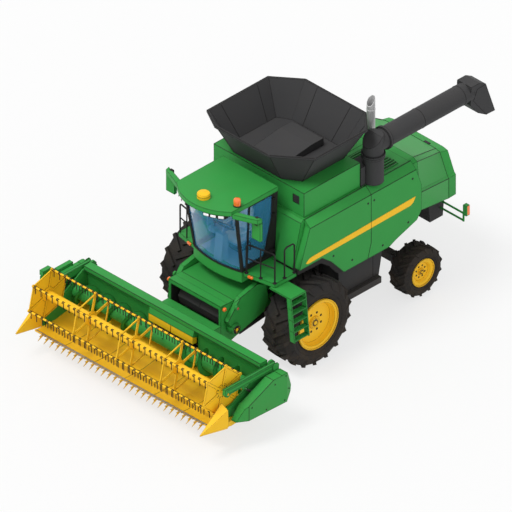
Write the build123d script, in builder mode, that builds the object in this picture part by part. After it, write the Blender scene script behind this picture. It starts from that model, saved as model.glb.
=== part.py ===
from build123d import *
import os
from math import asin, cos, hypot, pi, radians, sin, sqrt

# Combine harvester, millimetres. X runs across the machine (its left side is +X),
# the header looks towards -Y and +Z is up. The ground is Z = 0.
# Every fore-and-aft place below is measured from the front axle.
divider_tip_y = -4346
spout_end_y = 5500
AXLE_Y = -(spout_end_y + divider_tip_y) / 2

# Wheels
front_wheel_r = 1000
front_tyre_w = 800
front_track = 3000
front_rim_r = 580
rear_wheel_r = 575
rear_tyre_w = 540
rear_track = 2700
rear_rim_r = 325
wheelbase = 3360
rim_wall = 24
dish_share = 0.22
lug_yaw = 38
front_tread = (24, 18, 45, 80)
rear_tread = (20, 14, 32, 56)
fit_gap = 0.3
front_shaft_r = 75
rear_shaft_r = 45
steer_pin_x = 900
steer_pin_r = 32

# Body
core_half = 1380
side_half = 1550
body_floor_z = 2320
body_top_z = 3380
body_back_y = 1750
shoulder_z = 3230
panel_back_y = 3190
sill_z = 1670
tank_half = 1330
tank_front_y = 100
tank_top_z = 3980
hopper_rim_z = 4810
hopper_floor_z = 4080
hopper_wall = 30
hopper_lip_w = 22
hopper_lip_h = 45
engine_front_y = 1950
engine_back_y = 2950
engine_half = 450
engine_top_z = 3180

# Cab and decks
cab_low_half = 715
cab_top_half = 800
cab_front_y = -1110
cab_back_y = -140
cab_wall_t = 60
cab_floor_z = 2280
cab_base_h = 250
cab_bulge = 115
glass_top_z = 3930
glass_lean = 260
top_bulge = 280
glass_t = 12
pillar_w = 60
pillar_d = 55
roof_half = 815
roof_front_y = -1510
roof_back_y = -140
roof_bulge = 340
roof_t = 110
door_front_y = -985
door_back_y = -262
door_sill_z = 2370
door_t = 40
door_gap = 8
hinge_x = 818
hinge_y = -250
hinge_r = 8
deck_z = 2280
deck_t = 100
deck_out_x = 1500
rail_r = 18
rail_top_z = 3000

# Unloading auger
spout_x = 1350
spout_turn_y = 2120
spout_z = 4300
spout_r = 225
spout_tube_end_y = 4900

# Feeder house and header
lift_y = -400
lift_z = 1450
lift_boss_r = 60
lift_cheek_r = 95
feeder_half = 770
feeder_front_y = -1790
feeder_top_z = 1760
header_half = 2600
end_t = 47
shield_in_x = header_half + 180
shield_out_x = header_half + 420
back_sheet_y = -2360
header_top_z = 1530
lip_h = 100
lip_depth = 210
sheet_t = 20
knife_y = -3860
knife_z = 600
guard_tip_y = -4010
guard_pitch = 168
guard_count = int(2 * (header_half - 240) / guard_pitch) + 1
screw_y = -2680
screw_z = 1020
screw_r = 270
screw_drum_r = 150
screw_pitch = 460
screw_shaft_r = 30

# Reel
reel_y = -3560
reel_z = 1360
reel_r = 575
reel_half = header_half - 20
reel_bays = 4
reel_phase = 17
reel_tube_r = 95
reel_shaft_r = 30
bat_count = 6
bat_r = 20
tine_len = 160
tine_pitch = 165
arm_x = header_half + 113
arm_w = 90
arm_h = 150
arm_front_y = -3640
arm_pivot_y = -2200
arm_pivot_z = 1440
arm_top_z = 1485
pin_r = 22

# Hydraulic cylinders: base pin and eye, in Y and Z
lift_base = (-280, 870)
lift_eye = (-1550, 720)
lift_x = 640
lift_pin = 22
lift_eye_w = 60
lift_slack = 6.5
reel_base = (-2700, 980)
reel_eye = (-3100, 1280)
reel_pin = 12
reel_eye_w = 30
reel_slack = 8.5
lug_gap = 2

os.makedirs("parts", exist_ok=True)


def side_plane(x):
    """Sketch plane across the machine at x: local axes are Y from the front axle, and Z."""
    return Plane(origin=(x, AXLE_Y, 0), x_dir=(0, 1, 0), z_dir=(1, 0, 0))


def level(z):
    """Horizontal sketch plane at height z: local axes are X, and Y from the front axle."""
    return Plane(origin=(0, AXLE_Y, z), x_dir=(1, 0, 0), z_dir=(0, 0, 1))


def across(y):
    """Upright sketch plane at y: local axes are X and Z, and it extrudes towards the front."""
    return Plane(origin=(0, AXLE_Y + y, 0), x_dir=(1, 0, 0), z_dir=(0, -1, 0))


def slab(plane, points, amount, mode=Mode.ADD):
    """Extrudes a straight-sided outline from its plane."""
    with BuildSketch(plane) as outline:
        with BuildLine():
            Polyline(*points, close=True)
        make_face()
    extrude(outline.sketch, amount=amount, mode=mode)


def block(x, y, z, mode=Mode.ADD):
    """A box between pairs of X, Y and Z limits."""
    with Locations(((x[0] + x[1]) / 2, AXLE_Y + (y[0] + y[1]) / 2, (z[0] + z[1]) / 2)):
        Box(x[1] - x[0], y[1] - y[0], z[1] - z[0], mode=mode)


def rod(start, end, radius, mode=Mode.ADD):
    """A round bar between two points."""
    a = Vector(start[0], AXLE_Y + start[1], start[2])
    b = Vector(end[0], AXLE_Y + end[1], end[2])
    with BuildSketch(Plane(origin=a, z_dir=b - a)) as section:
        Circle(radius)
    extrude(section.sketch, amount=(b - a).length, mode=mode)


def bent_tube(points, radius, bend):
    """A round tube along straight runs joined by bends."""
    with BuildLine() as path:
        FilletPolyline(*[(x, AXLE_Y + y, z) for x, y, z in points], radius=bend)
    with BuildSketch(Plane(origin=path.line @ 0, z_dir=path.line % 0)) as section:
        Circle(radius)
    sweep(section.sketch, path=path.line)


def ring(x, y, z, radii, width, mode=Mode.ADD):
    """A washer or disc that turns about an axis across the machine, from x outwards."""
    plane = Plane(origin=(x, AXLE_Y + y, z), x_dir=(0, 1, 0), z_dir=(1, 0, 0))
    with BuildSketch(plane) as section:
        Circle(radii[1])
        if radii[0] > 0:
            Circle(radii[0], mode=Mode.SUBTRACT)
    extrude(section.sketch, amount=width, mode=mode)


def finish(builder, name):
    """Labels a finished piece and writes it."""
    builder.part.label = name
    export_step(builder.part, f"parts/{name}.step")


# Wheels: the rim is a dished disc in a deep barrel, the tyre a closed ring around it.
def build_rim(track, y, radius, rim_r, tyre_w, shaft_r):
    """Left rim of one axle, turned about the axle: barrel, step, dished disc and hub cap."""
    outer = (track + tyre_w) / 2
    inner = (track - tyre_w) / 2
    dish = outer - dish_share * tyre_w
    lip = 30
    hub_r = 0.245 * rim_r
    points = [
        (outer - lip, rim_r),
        (inner + lip, rim_r),
        (inner + lip, rim_r - rim_wall),
        (dish - rim_wall, rim_r - 2 * rim_wall),
        (dish - rim_wall, 2 * shaft_r),
        (dish - 3 * rim_wall, 2 * shaft_r),
        (dish - 3 * rim_wall, shaft_r + fit_gap),
        (dish + 1.5 * rim_wall, shaft_r + fit_gap),
        (dish + 1.5 * rim_wall, hub_r - 10),
        (dish, hub_r),
        (dish, rim_r - 5 * rim_wall),
        (dish + 2 * rim_wall, rim_r - 4 * rim_wall),
        (outer - 2 * lip, rim_r - 3.4 * rim_wall),
        (outer - 1.5 * lip, rim_r - rim_wall),
        (outer - lip, rim_r - rim_wall),
    ]
    plane = Plane(origin=(0, AXLE_Y + y, radius), x_dir=(1, 0, 0), z_dir=(0, -1, 0))
    with BuildSketch(plane) as section:
        with BuildLine():
            Polyline(*points, close=True)
        make_face()
    revolve(section.sketch, axis=Axis((0, AXLE_Y + y, radius), (1, 0, 0)))


def build_tyre(track, y, radius, rim_r, tyre_w, tread):
    """Left tyre of one axle: flat-sided carcass, and two rows of slanted lugs with straight tops."""
    facets, lug_count, lug_h, lug_w = tread
    half = tyre_w / 2
    crown = radius - lug_h
    wall = crown - rim_r
    yaw = radians(lug_yaw)
    centre = Vector(track / 2, AXLE_Y + y, radius)
    profile = [
        (0.41 * tyre_w, rim_r + 0.5 * rim_wall),
        (half, rim_r + 0.55 * wall),
        (0.39 * tyre_w, crown),
    ]
    sections = []
    for x, r in [(-x, r) for x, r in profile] + profile[::-1]:
        with BuildSketch(Plane(origin=centre + Vector(x, 0, 0), x_dir=(0, 1, 0), z_dir=(1, 0, 0))) as section:
            RegularPolygon(r, facets, rotation=180 / facets)
        sections.append(section.sketch)
    loft(sections, ruled=True)

    def top(s, r):
        """Height of a lug's top, so that its outer edge reaches the radius r."""
        return sqrt(r ** 2 - (abs(s) * sin(yaw) + lug_w / 2 * cos(yaw)) ** 2)

    reach = (half - lug_w / 2 * sin(yaw)) / cos(yaw) - rim_wall / 6
    knee = 0.5 * reach
    lug = [
        (-0.02 * tyre_w, crown - 30),
        (-0.02 * tyre_w, top(0.02 * tyre_w, radius)),
        (knee, top(knee, radius)),
        (0.9 * reach, top(0.9 * reach, radius)),
        (reach, top(reach, rim_r + 0.62 * wall)),
    ]
    start = pi - asin((knee * sin(yaw) + lug_w / 2 * cos(yaw)) / radius)
    lugs = []
    for sign, shift in ((1, 0), (-1, 0.5)):
        for index in range(lug_count):
            angle = start + 2 * pi / lug_count * (index + shift)
            out = Vector(0, sin(angle), cos(angle))
            around = Vector(0, cos(angle), -sin(angle))
            along = Vector(1, 0, 0) * sign * cos(yaw) + around * sin(yaw)
            turn = along.cross(out)
            with BuildSketch(Plane(origin=centre - turn * lug_w / 2, x_dir=along, z_dir=turn)) as side_face:
                with BuildLine():
                    Polyline(*lug, close=True)
                make_face()
            lugs.append(extrude(side_face.sketch, amount=lug_w, mode=Mode.PRIVATE))
    add(lugs)
    ring(track / 2 - half, y, radius, (0, rim_r + fit_gap), tyre_w, Mode.SUBTRACT)


wheel_rows = [
    # name, track, y, radius, rim radius, tyre width, shaft radius, tread
    ("front", front_track, 0, front_wheel_r, front_rim_r, front_tyre_w, front_shaft_r, front_tread),
    ("rear", rear_track, wheelbase, rear_wheel_r, rear_rim_r, rear_tyre_w, rear_shaft_r, rear_tread),
]
for name, track, y, radius, rim_r, tyre_w, shaft_r, tread in wheel_rows:
    with BuildPart() as left_rim:
        build_rim(track, y, radius, rim_r, tyre_w, shaft_r)
    finish(left_rim, f"{name}_left_rim")
    with BuildPart() as right_rim:
        mirror(left_rim.part, about=Plane.YZ)
    finish(right_rim, f"{name}_right_rim")
    with BuildPart() as left_tyre:
        build_tyre(track, y, radius, rim_r, tyre_w, tread)
    finish(left_tyre, f"{name}_left_tyre")
    with BuildPart() as right_tyre:
        mirror(left_tyre.part, about=Plane.YZ)
    finish(right_tyre, f"{name}_right_tyre")

# Frame: two rails, low under the body and high over the rear axle, with crossmembers.
rail_x = 420
rail_w = 120
rail_h = 170
rail_low_z = 950
rail_back_z = 1400
rail_back_y = 4090
hanger_half = 100
rear_beam_h = 90
rear_beam_z = rear_wheel_r
member_w = 120
low_members = (300, 1700)
high_members = (wheelbase - hanger_half, rail_back_y - member_w)
hanger_x = 200
hanger_plate_t = 40
frame_points = [
    (-330, rail_low_z - rail_h),
    (2300, rail_low_z - rail_h),
    (2920, rail_back_z - rail_h),
    (rail_back_y, rail_back_z - rail_h),
    (rail_back_y, rail_back_z),
    (2800, rail_back_z),
    (2260, rail_low_z),
    (-330, rail_low_z),
]
with BuildPart() as frame:
    for side in (-1, 1):
        low = min(side * rail_x, side * (rail_x + rail_w))
        slab(side_plane(low), frame_points, rail_w)
    for y in low_members:
        block((-rail_x, rail_x), (y, y + member_w), (rail_low_z - rail_h, rail_low_z))
    rail_under_z = rail_back_z - rail_h
    for y in high_members:
        block((-rail_x, rail_x), (y, y + member_w), (rail_under_z, rail_back_z))
    hanger = (wheelbase - hanger_half, wheelbase + hanger_half)
    block((-hanger_x, hanger_x), hanger, (rear_beam_z + rear_beam_h, rail_under_z))
    block((-rail_x - rail_w, rail_x + rail_w), hanger, (rail_under_z - hanger_plate_t, rail_under_z))
    for side in (-1, 1):
        ends = sorted((side * (rail_x + rail_w), side * (lift_x + 50)))
        ring(ends[0], *lift_base, (0, lift_pin), ends[1] - ends[0])
finish(frame, "frame")

# Front axle: beam on the rails, with a round final drive behind each wheel.
beam_end_x = 850
beam_half_y = 150
beam_h = 250
drive_r = 200
drive_x = front_track / 2 - front_tyre_w / 2 - 30
with BuildPart() as front_axle:
    block((-beam_end_x, beam_end_x), (-beam_half_y, beam_half_y), (rail_low_z, rail_low_z + beam_h))
    for side in (-1, 1):
        low = min(side * beam_end_x, side * drive_x)
        ring(low, 0, front_wheel_r, (0, drive_r), drive_x - beam_end_x)
        end = front_track / 2 + front_tyre_w / 2 - dish_share * front_tyre_w + 1.5 * rim_wall
        low = min(side * drive_x, side * end)
        ring(low, 0, front_wheel_r, (0, front_shaft_r), end - drive_x)
finish(front_axle, "front_axle")

# Rear axle: a beam that ends in forks around the steering knuckles.
fork_gap = 2
fork_h = 60
fork_half_y = 60
fork_web = (130, 180)
eye_h = 150
fork_low_z = rear_beam_z - eye_h / 2 - fork_gap - fork_h
fork_high_z = rear_beam_z + eye_h / 2 + fork_gap
with BuildPart() as rear_axle:
    beam = (wheelbase - rear_beam_h, wheelbase + rear_beam_h)
    beam_end = steer_pin_x - fork_web[0]
    block((-beam_end, beam_end), beam, (rear_beam_z - rear_beam_h, rear_beam_z + rear_beam_h))
    fork_y = (wheelbase - fork_half_y, wheelbase + fork_half_y)
    for side in (-1, 1):
        for z in (fork_low_z, fork_high_z):
            ends = sorted((side * (beam_end - 5), side * (steer_pin_x + fork_half_y)))
            block(ends, fork_y, (z, z + fork_h))
        ends = sorted((side * (steer_pin_x - fork_web[1]), side * beam_end))
        block(ends, fork_y, (fork_low_z, fork_high_z + fork_h))
        with BuildSketch(Plane(origin=(side * steer_pin_x, AXLE_Y + wheelbase, fork_low_z))) as pin:
            Circle(steer_pin_r)
        extrude(pin.sketch, amount=eye_h + 2 * fork_gap + 2 * fork_h)
finish(rear_axle, "rear_axle")

for name, side in (("left", 1), ("right", -1)):
    with BuildPart() as knuckle:
        eye_low = rear_beam_z - eye_h / 2
        with BuildSketch(Plane(origin=(side * steer_pin_x, AXLE_Y + wheelbase, eye_low))) as eye:
            Circle(2.1 * steer_pin_r)
        extrude(eye.sketch, amount=eye_h)
        end = rear_track / 2 + rear_tyre_w / 2 - dish_share * rear_tyre_w + 1.5 * rim_wall
        low = min(side * steer_pin_x, side * end)
        ring(low, wheelbase, rear_wheel_r, (0, rear_shaft_r), end - steer_pin_x)
        with BuildSketch(Plane(origin=(side * steer_pin_x, AXLE_Y + wheelbase, eye_low))) as bore:
            Circle(steer_pin_r + fit_gap)
        extrude(bore.sketch, amount=eye_h, mode=Mode.SUBTRACT)
    finish(knuckle, f"{name}_knuckle")

# Lower body: threshing housing between the wheels, dark walls behind the wheel arches.
arch_points = [(420, body_floor_z), (690, 2100), (1060, sill_z - 10)]
lower_points = arch_points + [
    (1080, rail_low_z),
    (2250, rail_low_z),
    (2380, sill_z - 10),
    (2580, 1760),
    (panel_back_y - 10, 2050),
    (panel_back_y - 10, body_floor_z),
]
housing_half = 800
housing_back_y = 1150
sill_box_y = (1120, 2220)
sill_box_z = (830, 980)
sill_box_w = 110
with BuildPart() as lower_body:
    slab(side_plane(-core_half), lower_points, 2 * core_half)
    block((-housing_half, housing_half), (-beam_half_y, housing_back_y), (rail_low_z + beam_h, cab_floor_z - cab_base_h))
    block((-housing_half, housing_half), (cab_back_y, housing_back_y), (cab_floor_z - cab_base_h, body_floor_z))
    for side in (-1, 1):
        ends = sorted((side * core_half, side * (core_half + sill_box_w)))
        block(ends, sill_box_y, sill_box_z)
        ends = sorted((side * (core_half - 2.5 * sill_box_w), side * core_half))
        block(ends, sill_box_y, (sill_box_z[0], rail_low_z))
        ends = sorted((side * (feeder_half + 5), side * (feeder_half + 60)))
        cheek = [
            (-140, lift_z - 150),
            (lift_y, lift_z - lift_cheek_r),
            (lift_y, lift_z + lift_cheek_r),
            (-140, lift_z + 150),
        ]
        slab(side_plane(ends[0]), cheek, ends[1] - ends[0])
        ring(ends[0], lift_y, lift_z, (0, lift_cheek_r), ends[1] - ends[0])
        ring(ends[0], lift_y, lift_z, (0, lift_boss_r + fit_gap), ends[1] - ends[0], Mode.SUBTRACT)
finish(lower_body, "lower_body")

# Upper body: closed core under the tank, with a front that leans out beside the cab.
upper_points = [
    (-290, body_floor_z),
    (-40, body_top_z - 60),
    (40, body_top_z),
    (body_back_y, body_top_z),
    (body_back_y, body_floor_z),
]
with BuildPart() as upper_body:
    slab(side_plane(-core_half), upper_points, 2 * core_half)
    block((-cab_top_half - 60, cab_top_half + 60), (-400, cab_back_y), (body_floor_z - 10, body_top_z), Mode.SUBTRACT)
finish(upper_body, "upper_body")

# Side panels: flat skins with a sloped shoulder and the wheel arch cut out.
panel_points = [
    (-250, body_floor_z),
    (420, body_floor_z),
    (690, 2100),
    (1060, sill_z),
    (2400, sill_z),
    (2600, 1760),
    (3210, 1960),
    (3345, 2150),
    (3345, 2790),
    (panel_back_y, shoulder_z),
    (60, shoulder_z),
]
with BuildPart() as side_panels:
    for side in (-1, 1):
        low = min(side * core_half, side * side_half)
        slab(side_plane(low), panel_points, side_half - core_half)
        shoulder = [
            (side * core_half, shoulder_z),
            (side * side_half, shoulder_z),
            (side * core_half, body_top_z),
        ]
        slab(across(panel_back_y), shoulder, panel_back_y - 60)
finish(side_panels, "side_panels")

# Engine, a plain block at its real size, on the body's rear floor.
with BuildPart() as engine:
    block((-engine_half, engine_half), (engine_front_y, engine_back_y), (body_floor_z, engine_top_z))
finish(engine, "engine")

# Engine deck with ribs for its louvres.
deck_plate_t = 40
deck_plate_back_y = 3150
louvre_x = 395
louvre_pitch = 66
louvre_size = (35, 25)
louvre_count = 5
with BuildPart() as engine_deck:
    block((-core_half, core_half), (body_back_y, deck_plate_back_y), (body_top_z - deck_plate_t, body_top_z))
    for index in range(louvre_count):
        x = louvre_x + louvre_pitch * index
        length = (body_back_y + 60, deck_plate_back_y - 100)
        block((x, x + louvre_size[0]), length, (body_top_z, body_top_z + louvre_size[1]))
finish(engine_deck, "engine_deck")

# Rear hood: tapers in plan and slopes down behind the engine deck. It is a thin shell,
# open below, with a ledge along each side.
hood_rows = [
    # y, top half-width, top z, shoulder half-width, shoulder z, ledge half-width, ledge z, bottom z
    (3345, 1300, 3350, 1420, 3290, 1490, 2600, 2130),
    (4570, 730, 2720, 860, 2690, 1080, 2170, 1650),
    (4800, 720, 2660, 866, 2630, 1060, 2160, 1640),
]
hood_wall = 40
hood_ledge = 45


def hood_section(row, inset):
    """One upright section of the rear hood, drawn inset from its outside."""
    y, top_x, top_z, shoulder_x, shoulder_z, ledge_x, ledge_z, low_z = row
    half = [
        (top_x - inset, top_z - inset),
        (shoulder_x - inset, shoulder_z - inset),
        (ledge_x - inset, ledge_z + hood_ledge / 2),
        (ledge_x + hood_ledge - inset, ledge_z - hood_ledge / 2),
        (ledge_x + hood_ledge - inset, low_z - (10 if inset else 0)),
    ]
    with BuildSketch(across(y)) as section:
        with BuildLine():
            Polyline(*half, *[(-x, z) for x, z in reversed(half)], close=True)
        make_face()
    return section.sketch


with BuildPart() as rear_hood:
    loft([hood_section(row, 0) for row in hood_rows], ruled=True)
    inner = [hood_section(row, hood_wall) for row in hood_rows]
    loft(inner[:2], ruled=True, mode=Mode.SUBTRACT)
finish(rear_hood, "rear_hood")

# Straw chopper box below the hood, on the rails' ends.
chopper_half = 1000
chopper_points = [(4310, 1760), (4100, 1640), (4140, 1190), (4520, 1190), (4560, 1640)]
with BuildPart() as chopper:
    slab(side_plane(-chopper_half), chopper_points, 2 * chopper_half)
    block((-rail_x - rail_w, rail_x + rail_w), (rail_back_y, rail_back_y + 90), (rail_back_z - rail_h, rail_back_z))
finish(chopper, "chopper")

# Grain tank body and the flared hopper on it.
vent_x = (1000, 1190)
vent_z = (3640, 3840)
vent_depth = 12
with BuildPart() as tank_body:
    block((-tank_half, tank_half), (tank_front_y, body_back_y), (body_top_z, tank_top_z))
    block(vent_x, (tank_front_y, tank_front_y + vent_depth), vent_z, Mode.SUBTRACT)
finish(tank_body, "tank_body")

cover_x = (-500, 430)
hopper_corners = [
    # base x, base y, rim x, rim y
    (-780, 160, -900, -280),
    (590, 160, 660, -270),
    (980, 400, 1430, 330),
    (980, 1600, 1430, 1850),
    (760, 1740, 960, 2280),
    (-700, 1740, -810, 2280),
    (-980, 1600, -1430, 1800),
    (-980, 300, -1430, 20),
]


def hopper_outline(z, inset):
    """The hopper's outline at one height, drawn inwards by a wall."""
    share = (z - tank_top_z) / (hopper_rim_z - tank_top_z)
    points = []
    for base_x, base_y, rim_x, rim_y in hopper_corners:
        points.append((base_x + share * (rim_x - base_x), base_y + share * (rim_y - base_y)))
    with BuildSketch(level(z)) as outline:
        with BuildLine():
            Polyline(*points, close=True)
        make_face()
        if inset:
            offset(amount=inset, kind=Kind.INTERSECTION, mode=Mode.REPLACE)
    return outline.sketch


with BuildPart() as hopper:
    loft([hopper_outline(tank_top_z, 0), hopper_outline(hopper_rim_z, 0)], ruled=True)
    extrude(hopper_outline(hopper_rim_z, hopper_lip_w), amount=-hopper_lip_h)
    loft([hopper_outline(hopper_floor_z, -hopper_wall), hopper_outline(hopper_rim_z, -hopper_wall)],
         ruled=True, mode=Mode.SUBTRACT)
    cover_top_z = hopper_floor_z + 170
    cover_points = [
        (350, hopper_floor_z),
        (1575, hopper_floor_z),
        (1575, cover_top_z),
        (1220, cover_top_z),
        (350, hopper_floor_z + 60),
    ]
    slab(side_plane(cover_x[0]), cover_points, cover_x[1] - cover_x[0])
finish(hopper, "hopper")

# Cab: floor with a bowed front band, pillars that lean out, rear wall, glass, roof.
def bowed_plan(z, half, front_y, back_y, bow):
    """A plan outline with straight sides and a bowed front."""
    with BuildSketch(level(z)) as plan:
        with BuildLine():
            Polyline((-half, front_y), (-half, back_y), (half, back_y), (half, front_y))
            ThreePointArc((half, front_y), (0, front_y - bow), (-half, front_y))
        make_face()
    return plan.sketch


with BuildPart() as cab_base:
    plan = bowed_plan(cab_floor_z - cab_base_h, cab_low_half, cab_front_y, cab_back_y, cab_bulge)
    extrude(plan, amount=cab_base_h)
finish(cab_base, "cab_base")

cab_h = glass_top_z - cab_floor_z
side_lean = (cab_top_half - cab_low_half) / cab_h
front_lean = glass_lean / cab_h


def cab_half(z):
    """Half-width of the cab's outside at one height."""
    return cab_low_half + side_lean * (z - cab_floor_z)


def cab_side(side, depth):
    """Plane of the cab's side, leaning out, at a depth inside it: local axes are Y and height."""
    inwards = depth / hypot(1, side_lean)
    origin = (side * (cab_low_half - inwards), AXLE_Y, cab_floor_z + side_lean * inwards)
    return Plane(origin=origin, x_dir=(0, 1, 0), z_dir=(1, 0, -side * side_lean))


def side_pane(side, depth, points, thickness):
    """Extrudes an outline, given in Y and Z, from the cab's leaning side inwards."""
    stretch = hypot(1, side_lean)
    local = [(y, (z - cab_floor_z) * stretch) for y, z in points]
    slab(cab_side(side, depth), local, -side * thickness)


def glass_strip(z, half, front_y, bow):
    """A thin bowed strip of the windscreen at one height."""
    with BuildSketch(level(z)) as strip:
        with BuildLine():
            ThreePointArc((-half, front_y), (0, front_y - bow), (half, front_y))
            Line((half, front_y), (half, front_y + glass_t))
            ThreePointArc((half, front_y + glass_t), (0, front_y - bow + glass_t), (-half, front_y + glass_t))
            Line((-half, front_y + glass_t), (-half, front_y))
        make_face()
    return strip.sketch


glass_low_z = cab_floor_z + 40
glass_inset = pillar_w + 4
with BuildPart() as windscreen:
    low = glass_strip(glass_low_z, cab_half(glass_low_z) - glass_inset, cab_front_y + 8, cab_bulge)
    high = glass_strip(glass_top_z, cab_top_half - glass_inset, cab_front_y - glass_lean + 14, top_bulge)
    loft([low, high])


def front_edge(z):
    """Rear edge of the front pillar at one height."""
    return cab_front_y + pillar_d - front_lean * (z - cab_floor_z)


over = 20
cab_low_z = cab_floor_z - over
cab_high_z = glass_top_z + over
front_pillar = [
    (front_edge(cab_low_z) - pillar_d, cab_low_z),
    (front_edge(cab_low_z), cab_low_z),
    (front_edge(cab_high_z), cab_high_z),
    (front_edge(cab_high_z) - pillar_d, cab_high_z),
]
rear_pillar = [
    (-440, cab_low_z),
    (-430, 2420),
    (-255, 3310),
    (-255, cab_high_z),
    (cab_back_y, cab_high_z),
    (cab_back_y, cab_low_z),
]
sill = [
    (front_edge(cab_low_z) - 10, cab_low_z),
    (-430, cab_low_z),
    (-430, door_sill_z - door_gap),
    (front_edge(door_sill_z) - 10, door_sill_z - door_gap),
]
hinge_rows = (2480, 3400, 3780)
hinge_h = 30
with BuildPart() as cab_frame:
    for side in (-1, 1):
        for outline in (front_pillar, rear_pillar, sill):
            side_pane(side, 0, outline, pillar_w)
    wall = cab_low_half - pillar_w + 20
    block((-wall, wall), (cab_back_y - cab_wall_t, cab_back_y), (cab_low_z, cab_high_z))
    slab(across(cab_back_y), [(wall - 1, cab_low_z), (wall + 1, cab_low_z), (wall + 86, cab_high_z), (wall - 1, cab_high_z)],
         cab_wall_t)
    slab(across(cab_back_y), [(1 - wall, cab_high_z), (-wall - 86, cab_high_z), (-wall - 1, cab_low_z), (1 - wall, cab_low_z)],
         cab_wall_t)
    half = cab_low_half - 10
    with BuildSketch(level(cab_floor_z)) as band:
        with BuildLine():
            ThreePointArc((-half, cab_front_y), (0, cab_front_y - cab_bulge), (half, cab_front_y))
            Line((half, cab_front_y), (half, cab_front_y + 50))
            ThreePointArc((half, cab_front_y + 50), (0, cab_front_y - cab_bulge + 50), (-half, cab_front_y + 50))
            Line((-half, cab_front_y + 50), (-half, cab_front_y))
        make_face()
    extrude(band.sketch, amount=glass_low_z - cab_floor_z)
    block((-cab_top_half, cab_top_half), (-1600, cab_back_y), (cab_floor_z, glass_top_z), Mode.INTERSECT)
    for z in hinge_rows:
        block((cab_half(z) - 30, hinge_x + 10), (hinge_y - 10, hinge_y + 10), (z - hinge_h, z))
        with BuildSketch(Plane(origin=(hinge_x, AXLE_Y + hinge_y, z - hinge_h))) as pin:
            Circle(hinge_r)
        extrude(pin.sketch, amount=2 * hinge_h)
finish(cab_frame, "cab_frame")

with BuildPart() as cab_roof:
    plan = bowed_plan(glass_top_z, roof_half, roof_front_y, roof_back_y, roof_bulge)
    extrude(plan, amount=roof_t)
finish(cab_roof, "cab_roof")


def opening(front_low, front_high, gap):
    """Outline of a side pane, in Y and Z, kept a gap inside the pillars."""
    top = glass_top_z - gap
    return [
        (front_low, door_sill_z),
        (front_high, top),
        (door_back_y, top),
        (door_back_y, 3300),
        (-438, 2420),
        (-438, door_sill_z),
    ]


pane_top_z = glass_top_z - 6
with BuildPart() as cab_windows:
    add(windscreen.part)
    side_pane(-1, 20, opening(front_edge(door_sill_z), front_edge(pane_top_z), 6), glass_t)
    quarter = [
        (front_edge(door_sill_z), door_sill_z),
        (front_edge(pane_top_z), pane_top_z),
        (door_front_y - door_gap, pane_top_z),
        (door_front_y - door_gap, door_sill_z),
    ]
    side_pane(1, 20, quarter, glass_t)
finish(cab_windows, "cab_windows")

# Door on the left side, hinged on an upright pin at its rear edge.
door_edge = 38
door_pane = opening(door_front_y, door_front_y, door_gap)
door_hole = [
    (door_front_y + door_edge, door_sill_z + door_edge),
    (door_front_y + door_edge, glass_top_z - door_gap - door_edge),
    (door_back_y - door_edge, glass_top_z - door_gap - door_edge),
    (door_back_y - door_edge, 3300),
    (-438 - door_edge, 2430),
    (-438 - door_edge, door_sill_z + door_edge),
]
with BuildPart() as door_frame:
    side_pane(1, 4, door_pane, door_t)
    stretch = hypot(1, side_lean)
    local = [(y, (z - cab_floor_z) * stretch) for y, z in door_hole]
    slab(cab_side(1, -10), local, -(door_t + 30), Mode.SUBTRACT)
    for z, y in zip(hinge_rows, (-445, -290, -290)):
        block((cab_half(z) - 10, hinge_x), (y - 25, y + 5), (z + 3, z + hinge_h - 3))
        block((cab_half(z) + 6, hinge_x), (y - 25, hinge_y), (z + 3, z + hinge_h - 3))
        with BuildSketch(Plane(origin=(hinge_x, AXLE_Y + hinge_y, z + 3))) as knuckle:
            Circle(2 * hinge_r)
        extrude(knuckle.sketch, amount=hinge_h - 6)
        with BuildSketch(Plane(origin=(hinge_x, AXLE_Y + hinge_y, z + 3))) as bore:
            Circle(hinge_r + fit_gap)
        extrude(bore.sketch, amount=hinge_h - 6, mode=Mode.SUBTRACT)
finish(door_frame, "door_frame")

with BuildPart() as door_glass:
    side_pane(1, 16, door_hole, glass_t)
finish(door_glass, "door_glass")

# Seat, steering column and wheel.
seat_half = 250
cushion_y = (-800, -300)
cushion_z = (2560, 2680)
backrest = [(-400, cushion_z[1]), (-300, cushion_z[1]), (-215, 3330), (-315, 3330)]
with BuildPart() as seat:
    block((70 - seat_half, seat_half - 70), (-640, -340), (cab_floor_z, cushion_z[0]))
    block((-seat_half, seat_half), cushion_y, cushion_z)
    slab(side_plane(20 - seat_half), backrest, 2 * (seat_half - 20))
finish(seat, "seat")

column_points = [(-1130, cab_floor_z), (-900, cab_floor_z), (-930, 2900), (-1060, 2900)]
column_half = 110
hand_wheel_r = 200
hand_wheel_t = 28
with BuildPart() as steering:
    slab(side_plane(-column_half), column_points, 2 * column_half)
    rod((0, -980, 2890), (0, -889, 3014), 25)
    tilt = Plane(origin=(0, AXLE_Y - 895, 3008), z_dir=(0, 0.58, 0.81))
    with BuildSketch(tilt) as wheel_rim:
        Circle(hand_wheel_r)
        Circle(hand_wheel_r - hand_wheel_t, mode=Mode.SUBTRACT)
    extrude(wheel_rim.sketch, amount=hand_wheel_t)
    with BuildSketch(tilt) as spokes:
        Rectangle(2 * hand_wheel_r - 50, 40)
    extrude(spokes.sketch, amount=0.65 * hand_wheel_t)
finish(steering, "steering")

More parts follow.
